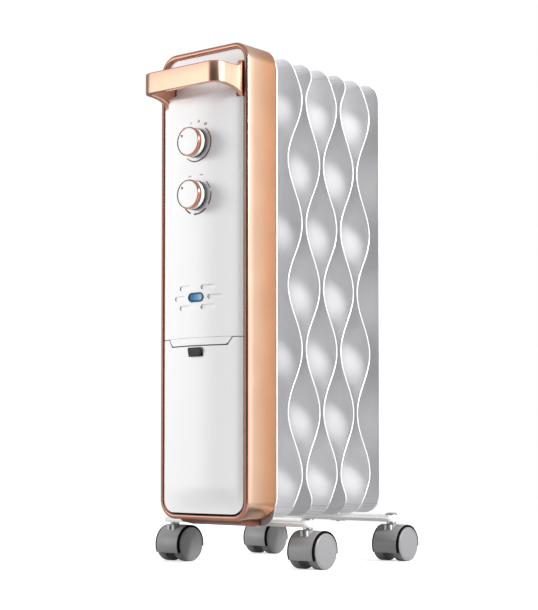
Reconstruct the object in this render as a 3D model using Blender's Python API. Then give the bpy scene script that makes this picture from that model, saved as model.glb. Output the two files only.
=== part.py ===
"""Oil filled radiator heater.

Seven steel fins sit on two oil headers. A control box with the handle, two knobs, a lamp and a cord
compartment stands in front of the first fin, and two brackets with twin-wheel casters carry the lot.
Metres, +Z up, the floor at z = 0. +Y runs from the control box to the last fin, and y is counted from
the control box's front rim through the function at().
"""

import math

import bmesh
import bpy
from mathutils import Matrix, Vector

# Driving dimensions
HEIGHT = 0.650            # floor to the top of the control box
BOX_WIDTH = 0.145
BOX_DEPTH = 0.055
BOX_BOTTOM = 0.060
BOX_CORNER = 0.024
BOX_WALL = 0.0020
RIM_LIP = 0.0038          # how far the front rim folds in over the panel's edge
PANEL_GAP = 0.0004        # between the rim and the panel
PANEL_WALL = 0.0027
PANEL_EDGE = 0.0010       # the panel's edge lies this far behind the rim
CROWN = 0.0145            # how far the panel bows forward in its middle
BOTTOM_CROWN = 0.2        # share of the crown left at the door's lower edge
CROWN_RISE = 0.040        # height over which the crown grows to its full size
SPLIT_DROP = 0.3646       # from the top down to the line between the panel and the cord door
SPLIT_GAP = 0.0010
DOOR_BOTTOM = 0.0068      # the door's lower edge above the box's bottom
NICHE_DROP = 0.064        # from the top down to the lower edge of the finger niche
NICHE_RISE = 0.007
NICHE_BACK = 0.012
NICHE_SLOPE = 0.010

HANDLE_REACH = 0.047
HANDLE_DROP = 0.046       # from the top down to the middle of the bar
HANDLE_TALL = 0.022
HANDLE_THICK = 0.0078
HANDLE_CORNER_INSET = 0.0125    # from the box's side
HANDLE_FOOT_INSET = 0.0073
HANDLE_FOOT_DEEP = 0.010
HANDLE_CORNER = 0.012
FOOT_DROP = 0.0120
FOOT_RISE = 0.0110

FIN_COUNT = 7
FIN_PITCH = 0.037
FIN_START = 0.0579
FIN_BOTTOM = 0.0612
FIN_DROP = 0.002          # from the top of the box down to the fins' tops
FIN_CORNER = 0.028
FIN_SHEET = 0.0014
WAVE_LENGTH = 0.160
WAVE_HEIGHT = 0.0143
WAVE_FROM = 0.020         # the fins are flat between their oil channels and wave outside this
WAVE_TO = 0.060

HEADER_RADIUS = 0.016
HEADER_WALL = 0.0025
HEADER_INSET = 0.035      # header's middle from the fin's top or bottom
HEADER_END = 0.004        # how far a header runs past the last fin
PLUG_RADIUS = 0.017
PLUG_HEAD = 0.0078

ELEMENT_FLANGE = (0.019, 0.006)     # radius, thickness
ELEMENT_SPIGOT = 0.010    # how far the element's plug runs into the header
ELEMENT_REACH = 0.180
ELEMENT_ROD = 0.0034
ELEMENT_OFFSET = 0.0062   # each leg of the heating rod from the header's middle

KNOB_DROPS = {"power": 0.1216, "thermostat": 0.1873}      # from the top down to the knobs' axes
KNOB_RADIUS = 0.0184
KNOB_LENGTH = 0.0149
KNOB_RING = 0.0016
KNOB_SOCKET = 0.0085
RING_BACK = 0.0026        # the metal ring reaches this far back from the knob's face
SWITCH_SIZE = (0.030, 0.022, 0.030)      # wide, deep, tall
THERMOSTAT_SIZE = (0.028, 0.026, 0.032)
SWITCH_GAP = 0.0015       # between the panel and the switch behind it
SHAFT_RADIUS = 0.0030
SHAFT_IN = 0.008          # the shaft reaches this far into the knob and into the switch
BUSH_RADIUS = 0.0047
LAMP_DROP = 0.3142        # from the top down to the lamp's middle
LAMP_PROUD = 0.0008
LAMP_WIDE = 0.0254
LAMP_TALL = 0.0117
LIGHT_SLOT = (0.0215, 0.0060)
LIGHT_SLOTS = [(-0.0186, 0.0123), (0.0186, 0.0123), (-0.0287, 0), (0.0287, 0),
               (-0.0186, -0.0123), (0.0186, -0.0123)]

DOOR_PIVOT_Y = 0.0055
DOOR_PIVOT_Z = 0.0275     # above the box's bottom
DOOR_PIN_RADIUS = 0.0015
KNUCKLE_INSET = 0.0225    # hinge knuckles and lugs from the box's side
KNUCKLE_HALF = 0.0030
LUG_INSET = 0.0140
LUG_HALF = 0.0020
LUG_RADIUS = 0.0027
LATCH_WIDE = 0.024
LATCH_TALL = 0.0112
LATCH_HEAD = 0.0026
LATCH_NECK = 0.0046
LATCH_PLATE = 0.0020
LATCH_DROP = 0.0030       # the catch lies this far under the lip
LATCH_TRAVEL = 0.003
LIP_TALL = 0.0089
LIP_GAP = 0.0009
LIP_TOP_INSET = 0.0215
LIP_LOW_INSET = 0.0280
BAY_INSET = 0.0105
BAY_WALL = 0.0018
BAY_FRONT = 0.0052
BAY_BACK = 0.0460
BAY_OVER_PIVOT = 0.0045
BAY_UNDER_SPLIT = 0.0100
GLAND_AT = (0.040, 0.112)
GLAND_BORE = 0.0040
GLAND_SLEEVE = 0.0028     # the gland's wall through the bay, and its wider flange
GLAND_FLANGE = 0.0052
GLAND_THICK = 0.0030

CUTOUT_AT = (0.036, 0.250)          # x, and down from the top
CUTOUT_SIZE = (0.009, 0.008)        # radius, depth
TERMINAL_DROP = 0.340
TERMINAL_SIZE = (0.052, 0.014, 0.016)
TILT_AT = (-0.037, 0.250)
TILT_SIZE = (0.026, 0.016, 0.034)

STEM_OUT = 0.0383         # the stems stand this far outside the box's sides
STEM_YS = {"front": 0.0704, "rear": 0.2506}
TRAIL = 0.0090            # the wheels' axle runs this far behind the stem
WHEEL_RADIUS = 0.0225
WHEEL_INNER = 0.0078
WHEEL_OUTER = 0.0220
WHEEL_SIDES = 24
HOOD_GAP = 0.0008
HOOD_WALL = 0.0020
HOOD_HALF = 0.0205
HOOD_FROM, HOOD_TO = -8, 205
WEB_HALF = 0.0065
WEB_BORE = 0.0080
AXLE_RADIUS = 0.0025
AXLE_HALF = 0.0192
STEM_RADIUS = 0.0040
STEM_COLLAR = 0.0060
STEM_CAP = 0.0075
STEM_FOOT = 0.0110        # the stem's foot above the axle
BOSS_FOOT = 0.0080
BOSS_RADIUS = 0.0064
BOSS_HEADROOM = 0.0028    # between the boss and the bracket's lower edge

BRACKET_HALF_WIDE = 0.0130
BRACKET_TALL = 0.0084
BRACKET_WALL = 0.0020
BRACKET_OVERHANG = 0.0125
BOLT_RADIUS = 0.0025
BOLT_BEHIND_STEM = 0.006
NUT_RADIUS = 0.0050
NUT_TALL = 0.0055
WING_SIZE = (0.012, 0.001, 0.0065)       # half span, half thickness, height

RUNNING = 0.0003          # clearance of what turns, and the gap where pieces touch
LOOSE = 0.0006

# Sizes that follow
NICHE_BOTTOM = HEIGHT - NICHE_DROP
HANDLE_HEIGHT = HEIGHT - HANDLE_DROP
HANDLE_CORNER_X = BOX_WIDTH / 2 - HANDLE_CORNER_INSET
HANDLE_FOOT_X = BOX_WIDTH / 2 - HANDLE_FOOT_INSET
FIN_WIDTH = BOX_WIDTH + RUNNING
FIN_TOP = HEIGHT - FIN_DROP
KNOB_HEIGHTS = {name: HEIGHT - drop for name, drop in KNOB_DROPS.items()}
LAMP_HEIGHT = HEIGHT - LAMP_DROP
SPLIT_HEIGHT = HEIGHT - SPLIT_DROP
LATCH_TOP = SPLIT_HEIGHT - LIP_TALL - LATCH_DROP
KNUCKLE_X = BOX_WIDTH / 2 - KNUCKLE_INSET
LUG_X = BOX_WIDTH / 2 - LUG_INSET
LIP_TOP_HALF = BOX_WIDTH / 2 - LIP_TOP_INSET
LIP_LOW_HALF = BOX_WIDTH / 2 - LIP_LOW_INSET
BAY_HALF = BOX_WIDTH / 2 - BAY_INSET
STEM_X = BOX_WIDTH / 2 + STEM_OUT
LAST_FIN = FIN_START + (FIN_COUNT - 1) * FIN_PITCH
HEADER_REAR = LAST_FIN + HEADER_END
LENGTH = HANDLE_REACH + HEADER_REAR + RUNNING + PLUG_HEAD
RIM_Y = HANDLE_REACH - LENGTH / 2
PANEL_HALF = BOX_WIDTH / 2 - RIM_LIP - PANEL_GAP
PANEL_TOP = HEIGHT - RIM_LIP - PANEL_GAP
BULKHEAD = (BOX_DEPTH + RUNNING, BOX_DEPTH + RUNNING + 0.0014)
HEADER_HEIGHTS = {"top": FIN_TOP - HEADER_INSET, "bottom": FIN_BOTTOM + HEADER_INSET}
BRACKET_TOP = FIN_BOTTOM - LOOSE
WHEEL_CORNER = WHEEL_RADIUS / math.cos(math.pi / WHEEL_SIDES)
HOOD_INNER = WHEEL_CORNER + HOOD_GAP
HOOD_OUTER = HOOD_INNER + HOOD_WALL
WAVE_MIDDLE = (FIN_TOP + FIN_BOTTOM) / 2


def at(y):
    """A distance behind the front rim, as a y in the model's frame."""
    return RIM_Y + y


def clear_scene():
    for thing in list(bpy.data.objects):
        bpy.data.objects.remove(thing, do_unlink=True)


def paint(name, colour, roughness, metallic=0.0, alpha=1.0):
    material = bpy.data.materials.new(name)
    material.use_nodes = True
    shader = material.node_tree.nodes["Principled BSDF"]
    shader.inputs["Base Color"].default_value = (*colour, 1)
    shader.inputs["Roughness"].default_value = roughness
    shader.inputs["Metallic"].default_value = metallic
    shader.inputs["Alpha"].default_value = alpha
    return material


def place(name, bm, material, location=(0, 0, 0), rotation=(0, 0, 0), parent=None):
    """Turn a bmesh into a named object."""
    bmesh.ops.recalc_face_normals(bm, faces=bm.faces)
    mesh = bpy.data.meshes.new(name)
    bm.to_mesh(mesh)
    bm.free()
    mesh.shade_smooth()
    mesh.set_sharp_from_angle(angle=math.radians(35))
    if material:
        mesh.materials.append(material)
    thing = bpy.data.objects.new(name, mesh)
    bpy.context.scene.collection.objects.link(thing)
    thing.location = location
    thing.rotation_euler = rotation
    thing.parent = parent
    return thing


def pivot(name, location, parent=None):
    """An empty on a joint's axis, which carries the pieces that move with it."""
    empty = bpy.data.objects.new(name, None)
    bpy.context.scene.collection.objects.link(empty)
    empty.location = location
    empty.parent = parent
    return empty


def boolean(thing, other, operation):
    """Cut another shape away from a piece, or join it on. The other shape is only a guide."""
    other.hide_render = True
    other.display_type = "WIRE"
    modifier = thing.modifiers.new(other.name, "BOOLEAN")
    modifier.operation = operation
    modifier.object = other
    modifier.solver = "EXACT"


def loft(loops, ring=False):
    """Skin closed loops of points into a solid, capped at its ends or joined round as a ring."""
    bm = bmesh.new()
    rows = [[bm.verts.new(point) for point in loop] for loop in loops]
    pairs = list(zip(rows, rows[1:]))
    if ring:
        pairs.append((rows[-1], rows[0]))
    for low, high in pairs:
        for i in range(len(low)):
            j = (i + 1) % len(low)
            bm.faces.new((low[i], low[j], high[j], high[i]))
    if not ring:
        bm.faces.new(rows[0])
        bm.faces.new(rows[-1][::-1])
    return bm


def circle(radius, z, sides=24, phase=0.5):
    turn = 2 * math.pi / sides
    return [(radius * math.cos((i + phase) * turn), radius * math.sin((i + phase) * turn), z)
            for i in range(sides)]


def turned(profile, sides=24, ring=False):
    """A turned piece about Z from (radius, z) points."""
    return loft([circle(radius, z, sides) for radius, z in profile], ring)


def rod(radius, low, high, sides=24):
    return turned([(radius, low), (radius, high)], sides)


def box(low, high):
    bm = bmesh.new()
    middle = [(a + b) / 2 for a, b in zip(low, high)]
    size = [b - a for a, b in zip(low, high)]
    matrix = Matrix.Translation(middle) @ Matrix.Diagonal((*size, 1))
    bmesh.ops.create_cube(bm, size=1, matrix=matrix)
    return bm


def rounded_outline(half_width, low, high, radius, steps=6):
    """A rounded rectangle in X and Z, as (x, z) points."""
    corners = ((half_width - radius, high - radius, 0), (radius - half_width, high - radius, 90),
               (radius - half_width, low + radius, 180), (half_width - radius, low + radius, 270))
    return [(x + radius * math.cos(math.radians(start + 90 * i / steps)),
             z + radius * math.sin(math.radians(start + 90 * i / steps)))
            for x, z, start in corners for i in range(steps + 1)]


def slab(outline, near, far):
    """A flat piece across Y from an outline in X and Z."""
    return loft([[(x, y, z) for x, z in outline] for y in (near, far)])


def capsule(wide, tall, x, z, steps=5):
    """A slot's outline with round ends, as (x, z) points."""
    radius, reach = tall / 2, (wide - tall) / 2
    points = []
    for side in (1, -1):
        for i in range(steps + 1):
            angle = math.radians(-90 + 180 * i / steps)
            points.append((x + side * (reach + radius * math.cos(angle)),
                           z + side * radius * math.sin(angle)))
    return points


def sheet(heights, shares, half_width, surface, wall):
    """A curved plate whose rows run across X, with its front at surface(x, z)."""
    bm = bmesh.new()
    grids = []
    for offset in (0, wall):
        grids.append([[bm.verts.new((share * half_width(z), surface(share * half_width(z), z) + offset, z))
                       for share in shares] for z in heights])
    for grid in grids:
        for low, high in zip(grid, grid[1:]):
            for i in range(len(shares) - 1):
                bm.faces.new((low[i], low[i + 1], high[i + 1], high[i]))
    edges = []
    for grid in grids:
        right = [row[-1] for row in grid[1:-1]]
        left = [row[0] for row in reversed(grid[1:-1])]
        edges.append(grid[0] + right + grid[-1][::-1] + left)
    near, far = edges
    for i in range(len(near)):
        j = (i + 1) % len(near)
        bm.faces.new((near[i], near[j], far[j], far[i]))
    return bm


def corner_half(half, low, high, radius):
    """The half width at a height of a plate with round corners at low and high, where given."""
    def half_width(z):
        over = 0
        if high is not None:
            over = max(over, z - (high - radius))
        if low is not None:
            over = max(over, low + radius - z)
        return half - radius + math.sqrt(max(radius ** 2 - min(over, radius) ** 2, 0))
    return half_width


def corner_rows(edge, radius, into, steps=5):
    """Heights that follow a round corner, from its edge inwards."""
    return [edge + into * radius * (1 - math.cos(math.radians(90 * i / steps))) for i in range(steps + 1)]


def spread(start, end, count):
    return [start + (end - start) * i / count for i in range(count + 1)]


def smooth(value):
    value = min(max(value, 0), 1)
    return value * value * (3 - 2 * value)


# Front panel surface

def crown_at(x, z):
    """The bowed front of the panel and the door: fuller in the middle, flatter at the foot."""
    share = BOTTOM_CROWN + (1 - BOTTOM_CROWN) * smooth((z - BOX_BOTTOM - DOOR_BOTTOM) / CROWN_RISE)
    return at(PANEL_EDGE) - CROWN * share * (1 - (x / PANEL_HALF) ** 2)


def panel_front(x, z):
    """The panel's front, with the finger niche pressed in behind the handle."""
    edge = NICHE_BOTTOM + NICHE_RISE * (x / PANEL_HALF) ** 2
    depth = smooth((z - edge) / NICHE_SLOPE)
    return crown_at(x, z) * (1 - depth) + at(NICHE_BACK) * depth


# Radiator

def wave_weight(x):
    return smooth((abs(x) - WAVE_FROM) / (WAVE_TO - WAVE_FROM))


def fin(number, material):
    """A fin: the outer two are flat, and those between wave in turn forwards and backwards."""
    middle = FIN_START + number * FIN_PITCH
    flat = number in (0, FIN_COUNT - 1)
    swing = 0 if flat else WAVE_HEIGHT * (-1 if number % 2 else 1)

    def surface(x, z):
        turn = 2 * math.pi * (z - WAVE_MIDDLE) / WAVE_LENGTH
        return at(middle) - FIN_SHEET / 2 + swing * wave_weight(x) * math.cos(turn)

    lower = corner_rows(FIN_BOTTOM, FIN_CORNER, 1, 4)
    upper = corner_rows(FIN_TOP, FIN_CORNER, -1, 4)[::-1]
    between = spread(lower[-1], upper[0], 2 if flat else 18)[1:-1]
    shares = [-1, -0.45, 0.45, 1] if flat else [-1, -0.7, -0.45, 0.45, 0.7, 1]
    half_width = corner_half(FIN_WIDTH / 2, FIN_BOTTOM, FIN_TOP, FIN_CORNER)
    bm = sheet(lower + between + upper, shares, half_width, surface, FIN_SHEET)
    piece = place(f"fin_{number + 1}", bm, material)
    return piece


def along_y(name, bm, material, x, z, parent=None):
    """Place a piece turned about Z with its axis along +Y; its profile's z becomes y."""
    return place(name, bm, material, (x, 0, z), (math.radians(-90), 0, 0), parent)


def flip_profile(profile):
    """Profile points given as (radius, y behind the rim)."""
    return [(radius, at(y)) for radius, y in profile]


def oil_header(name, z, front, rear, closed_end, material):
    """An oil header: a steel tube that joins the fins, welded shut at one end."""
    bore = HEADER_RADIUS - HEADER_WALL
    outside = [(HEADER_RADIUS, front), (HEADER_RADIUS, rear)]
    if closed_end == "front":
        profile = [outside[0], outside[1], (bore, rear), (bore, front + HEADER_WALL)]
    else:
        profile = [outside[1], outside[0], (bore, front), (bore, rear - HEADER_WALL)]
    return along_y(name, turned(flip_profile(profile)), material, 0, z)


def radiator(steel, zinc):
    fins = [fin(number, steel) for number in range(FIN_COUNT)]
    front = BULKHEAD[1] + RUNNING
    oil_header("top_oil_header", HEADER_HEIGHTS["top"], front, HEADER_REAR, "front", steel)
    oil_header("bottom_oil_header", HEADER_HEIGHTS["bottom"], front, HEADER_REAR, "rear", steel)
    for end, z in HEADER_HEIGHTS.items():
        hole = rod(HEADER_RADIUS + RUNNING, at(front - 0.01), at(HEADER_REAR + 0.01))
        cutter = along_y(f"{end}_header_hole", hole, None, 0, z)
        for piece in fins:
            boolean(piece, cutter, "DIFFERENCE")

    spigot = HEADER_RADIUS - HEADER_WALL - RUNNING
    head = HEADER_REAR + RUNNING
    plug = [(spigot, head - 0.010), (spigot, head), (PLUG_RADIUS, head), (PLUG_RADIUS, head + PLUG_HEAD)]
    along_y("oil_fill_plug", turned(flip_profile(plug), 6 * 4), zinc, 0, HEADER_HEIGHTS["top"])
    heating_element(spigot, zinc)


def heating_element(spigot, zinc):
    """Flange in front of the bulkhead, a plug in the bottom header and a U-shaped heating rod in the oil."""
    face = BULKHEAD[0] - RUNNING
    radius, thick = ELEMENT_FLANGE
    flange = [(radius, face - thick), (radius, face), (spigot, face), (spigot, BULKHEAD[1] + ELEMENT_SPIGOT)]
    z = HEADER_HEIGHTS["bottom"]
    element = along_y("heating_element", turned(flip_profile(flange)), zinc, 0, z)
    offset = ELEMENT_OFFSET
    path = [Vector((offset, at(face - thick / 2), z))]
    path += [Vector((offset * math.cos(turn), at(ELEMENT_REACH) + offset * math.sin(turn), z))
             for turn in spread(0, math.pi, 8)]
    path += [Vector((-offset, at(face - thick / 2), z))]
    heater_rod = place("element_rod", tube(path, ELEMENT_ROD, Vector((0, 0, 1))), zinc)
    boolean(element, heater_rod, "UNION")


def tube(path, radius, up, sides=8):
    """A round rod along a path that stays in the plane square to up."""
    loops = []
    for i, point in enumerate(path):
        ahead = path[min(i + 1, len(path) - 1)] - path[max(i - 1, 0)]
        across = ahead.cross(up).normalized()
        loops.append([point + radius * (across * math.cos(2 * math.pi * k / sides)
                                        + up * math.sin(2 * math.pi * k / sides)) for k in range(sides)])
    return loft(loops)


# Control box

def copper_shell(material):
    """The ring-shaped shell: its front edge folds in as a rim round the panel."""
    profile = [(0.0012, 0), (0, 0.0014), (0, BOX_DEPTH), (BOX_WALL, BOX_DEPTH), (BOX_WALL, 0.0062),
               (RIM_LIP, 0.0044), (RIM_LIP, 0.0010), (RIM_LIP - 0.0010, 0)]
    loops = []
    for inset, y in profile:
        outline = rounded_outline(BOX_WIDTH / 2 - inset, BOX_BOTTOM + inset, HEIGHT - inset,
                                  BOX_CORNER - inset)
        loops.append([(x, at(y), z) for x, z in outline])
    return place("copper_shell", loft(loops, ring=True), material)


def control_panel(material):
    radius = BOX_CORNER - RIM_LIP - PANEL_GAP
    upper = corner_rows(PANEL_TOP, radius, -1)[::-1]
    middle = spread(SPLIT_HEIGHT + SPLIT_GAP / 2, NICHE_BOTTOM, 4)
    niche = spread(NICHE_BOTTOM, NICHE_BOTTOM + NICHE_RISE + NICHE_SLOPE, 5)[1:]
    shares = spread(-1, 1, 12)
    shape = corner_half(PANEL_HALF, None, PANEL_TOP, radius)
    panel = place("control_panel", sheet(middle + niche + upper, shares, shape, panel_front, PANEL_WALL),
                  material)
    for name, z in KNOB_HEIGHTS.items():
        hole = rod(BUSH_RADIUS + RUNNING, at(-0.03), at(0.01), 16)
        boolean(panel, along_y(f"{name}_hole", hole, None, 0, z), "DIFFERENCE")
    lamp = capsule(LAMP_WIDE + 2 * RUNNING, LAMP_TALL + 2 * RUNNING, 0, LAMP_HEIGHT)
    boolean(panel, place("lamp_hole", slab(lamp, at(-0.03), at(0.01)), None), "DIFFERENCE")
    for number, (x, z) in enumerate(LIGHT_SLOTS):
        outline = capsule(*LIGHT_SLOT, x, LAMP_HEIGHT + z, 3)
        floor = crown_at(x, LAMP_HEIGHT) + 0.0013
        recess = place(f"slot_recess_{number + 1}", slab(outline, at(-0.03), floor), None)
        boolean(panel, recess, "DIFFERENCE")
    inner = arm_middle(PANEL_EDGE - CROWN / 2) - HANDLE_THICK / 2 - LOOSE
    for side in (-1, 1):
        edges = sorted((side * inner, side * 0.08))
        notch = box((edges[0], at(-0.03), HANDLE_HEIGHT - HANDLE_TALL / 2 - FOOT_DROP - RUNNING),
                    (edges[1], at(0.03), HANDLE_HEIGHT + HANDLE_TALL / 2 + FOOT_RISE + RUNNING))
        boolean(panel, place(f"handle_notch_{side}", notch, None), "DIFFERENCE")
    return panel


def arm_middle(y):
    """How far a handle arm's middle lies from the centre plane, at a distance behind the rim."""
    corner_x, corner_y = HANDLE_CORNER_X - HANDLE_THICK / 2, -HANDLE_REACH + HANDLE_THICK / 2
    return corner_x + (HANDLE_FOOT_X - corner_x) * (y - corner_y) / (HANDLE_FOOT_DEEP - corner_y)


def lip_half(z):
    """Half the width of the lip that hangs below the panel, wider at its top."""
    share = (SPLIT_HEIGHT - z) / LIP_TALL
    return LIP_TOP_HALF + (LIP_LOW_HALF - LIP_TOP_HALF) * share


def latch_housing(material):
    heights = [SPLIT_HEIGHT - LIP_TALL, SPLIT_HEIGHT + SPLIT_GAP / 2 - RUNNING]
    bm = sheet(heights, spread(-1, 1, 8), lip_half, crown_at, PANEL_WALL)
    return place("latch_housing", bm, material)


def cord_door(material, hinge):
    """The cord compartment's door, with two hinge knuckles and a slot for its catch."""
    bottom = BOX_BOTTOM + DOOR_BOTTOM
    top = SPLIT_HEIGHT - SPLIT_GAP / 2
    radius = BOX_CORNER - RIM_LIP - PANEL_GAP
    rows = corner_rows(bottom, radius, 1) + spread(bottom + CROWN_RISE, top, 3)
    shape = corner_half(PANEL_HALF, bottom, None, radius)
    bm = sheet(rows, spread(-1, 1, 12), shape, crown_at, PANEL_WALL)
    offset = -Vector(hinge.location)
    bmesh.ops.translate(bm, verts=bm.verts, vec=offset)
    door = place("cord_door", bm, material, parent=hinge)

    low, high = SPLIT_HEIGHT - LIP_TALL - LIP_GAP, SPLIT_HEIGHT + 0.01
    notch = [(side * (lip_half(z) + LIP_GAP), z) for side, z in ((1, low), (1, high), (-1, high), (-1, low))]
    boolean(door, place("lip_notch", slab(notch, at(-0.03), at(0.02)), None), "DIFFERENCE")
    slot_low = LATCH_TOP - LATCH_TALL / 2 - LATCH_NECK / 2 - LATCH_TRAVEL - RUNNING
    slot_high = LATCH_TOP - LATCH_TALL / 2 + LATCH_NECK / 2 + RUNNING
    half = LATCH_WIDE / 2 + RUNNING
    slot = box((-half, at(-0.03), slot_low), (half, at(0.02), slot_high))
    boolean(door, place("latch_slot", slot, None), "DIFFERENCE")
    for side in (-1, 1):
        x, z = side * KNUCKLE_X, BOX_BOTTOM + DOOR_PIVOT_Z
        front = crown_at(x, z) + PANEL_WALL / 2
        knuckle = box((x - KNUCKLE_HALF, front, z - KNUCKLE_HALF),
                      (x + KNUCKLE_HALF, at(DOOR_PIVOT_Y) + KNUCKLE_HALF, z + KNUCKLE_HALF))
        boolean(door, place(f"knuckle_{side}", knuckle, None), "UNION")
    bore = rod(DOOR_PIN_RADIUS + RUNNING, -0.07, 0.07, 12)
    cutter = place("door_bore", bore, None, (0, at(DOOR_PIVOT_Y), BOX_BOTTOM + DOOR_PIVOT_Z),
                   (0, math.radians(90), 0))
    boolean(door, cutter, "DIFFERENCE")
    return door


def door_latch(material, slider):
    """The sliding catch: a head in front of the door, a neck through its slot and a plate behind it."""
    front = crown_at(0, LATCH_TOP) - RUNNING
    edge = crown_at(LATCH_WIDE / 2, LATCH_TOP) + PANEL_WALL + LOOSE
    top, low = LATCH_TOP, LATCH_TOP - LATCH_TALL
    neck_high = top - LATCH_TALL / 2 + LATCH_NECK / 2
    neck_low = neck_high - LATCH_NECK
    head, plate = front - LATCH_HEAD, edge + LATCH_PLATE
    outline = [(head, top), (front, top), (front, neck_high), (edge, neck_high),
               (edge, top), (plate, top), (plate, low + 0.001), (edge, low + 0.001),
               (edge, neck_low), (front, neck_low), (front, low), (head, low)]
    half = LATCH_WIDE / 2 - LOOSE / 2
    bm = loft([[(x, y, z) for y, z in outline] for x in (-half, half)])
    bmesh.ops.translate(bm, verts=bm.verts, vec=-slider.matrix_world.translation)
    return place("door_latch", bm, material, parent=slider)


def cord_bay(material):
    """The open box behind the door that holds the wound cord, with lugs for the door's hinge rod."""
    low, high = BOX_BOTTOM + DOOR_PIVOT_Z + BAY_OVER_PIVOT, SPLIT_HEIGHT - BAY_UNDER_SPLIT
    bay = place("cord_bay", box((-BAY_HALF, at(BAY_FRONT), low), (BAY_HALF, at(BAY_BACK), high)), material)
    inside = box((BAY_WALL - BAY_HALF, at(0), low + BAY_WALL),
                 (BAY_HALF - BAY_WALL, at(BAY_BACK) - BAY_WALL, high - BAY_WALL))
    boolean(bay, place("bay_inside", inside, None), "DIFFERENCE")
    pin = (at(DOOR_PIVOT_Y), BOX_BOTTOM + DOOR_PIVOT_Z)
    outline = [(pin[0] + py, pin[1] + pz) for py, pz in arc(LUG_RADIUS, 180, 360, 6)]
    outline += [(pin[0] + LUG_RADIUS, low + BAY_WALL / 2), (pin[0] - LUG_RADIUS, low + BAY_WALL / 2)]
    for side in (-1, 1):
        ends = [side * LUG_X - LUG_HALF, side * LUG_X + LUG_HALF]
        lug = loft([[(x, y, z) for y, z in outline] for x in ends])
        boolean(bay, place(f"lug_{side}", lug, None), "UNION")
    bore = place("lug_bore", rod(DOOR_PIN_RADIUS + RUNNING, -0.07, 0.07, 12), None, (0, *pin),
                 (0, math.radians(90), 0))
    boolean(bay, bore, "DIFFERENCE")
    gland_hole = rod(GLAND_BORE + GLAND_SLEEVE + RUNNING, at(BAY_BACK - 0.01), at(BAY_BACK + 0.01))
    boolean(bay, along_y("gland_hole", gland_hole, None, *GLAND_AT), "DIFFERENCE")
    return bay


def cord_gland(material):
    outer, flange = GLAND_BORE + GLAND_SLEEVE, GLAND_BORE + GLAND_FLANGE
    seat, end = BAY_BACK - BAY_WALL - RUNNING, BAY_BACK + GLAND_THICK
    near = seat - GLAND_THICK
    profile = [(GLAND_BORE, near), (flange, near), (flange, seat), (outer, seat), (outer, end),
               (GLAND_BORE, end)]
    return along_y("cord_gland", turned(flip_profile(profile), 16, ring=True), material, *GLAND_AT)


def handle(material):
    """The carrying handle: a bar across the front whose arms flare into the panel's sides."""
    bar_y = -HANDLE_REACH + HANDLE_THICK / 2
    foot = Vector((HANDLE_FOOT_X, HANDLE_FOOT_DEEP))
    corner = Vector((HANDLE_CORNER_X - HANDLE_THICK / 2, bar_y))
    back = (foot - corner).normalized()
    start = corner - Vector((HANDLE_CORNER, 0))
    end = corner + back * HANDLE_CORNER
    stations = [Vector((0, bar_y)), start]
    stations += [start.lerp(corner, t).lerp(corner.lerp(end, t), t) for t in spread(0, 1, 6)[1:]]
    stations += [end.lerp(foot, t) for t in spread(0, 1, 6)[1:]]
    half = HANDLE_THICK / 2
    chamfer = 0.0016
    section = []
    for side, level in ((-1, -1), (1, -1), (1, 1), (-1, 1)):
        near = [(side * half, level, -level * chamfer), (side * (half - chamfer), level, 0)]
        section += near if side * level > 0 else near[::-1]

    loops = []
    path = [Vector((-p.x, p.y)) for p in reversed(stations[1:])] + stations
    for i, point in enumerate(path):
        ahead = (path[min(i + 1, len(path) - 1)] - path[max(i - 1, 0)]).normalized()
        normal = Vector((-ahead.y, ahead.x))
        run = min(max((point.y - end.y) / (0 - end.y), 0), 1)
        low = HANDLE_HEIGHT - HANDLE_TALL / 2 - FOOT_DROP * (1 - math.sqrt(1 - run * run))
        rise = max(run - 0.6, 0) / 0.4
        high = HANDLE_HEIGHT + HANDLE_TALL / 2 + FOOT_RISE * (1 - math.sqrt(1 - rise * rise))
        loop = []
        for across, level, inset in section:
            spot = point + normal * across
            loop.append((spot.x, at(spot.y), (low if level < 0 else high) + inset))
        loops.append(loop)
    return place("handle", loft(loops), material)


def rear_bulkhead(material):
    """The steel back plate of the box, screwed to the first fin's headers."""
    outline = rounded_outline(BOX_WIDTH / 2 - BOX_WALL, BOX_BOTTOM - 0.008, HEIGHT - BOX_WALL,
                              BOX_CORNER - BOX_WALL)
    plate = place("rear_bulkhead", slab(outline, at(BULKHEAD[0]), at(BULKHEAD[1])), material)
    bore = HEADER_RADIUS - HEADER_WALL
    hole = rod(bore + RUNNING, at(BULKHEAD[0] - 0.01), at(BULKHEAD[1] + 0.01))
    cutter = along_y("element_hole", hole, None, 0, HEADER_HEIGHTS["bottom"])
    boolean(plate, cutter, "DIFFERENCE")
    return plate


def base_skirt(material):
    """The wedge under the box that rests against the bulkhead."""
    top, low, rear = BOX_BOTTOM - RUNNING, BOX_BOTTOM - 0.0075, BULKHEAD[0] - RUNNING
    outline = [(0.012, top), (0.018, top - 0.0035), (0.036, low), (rear, low), (rear, top)]
    half = BOX_WIDTH / 2 - BOX_CORNER
    return place("base_skirt", loft([[(x, at(y), z) for y, z in outline] for x in (-half, half)]), material)


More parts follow.
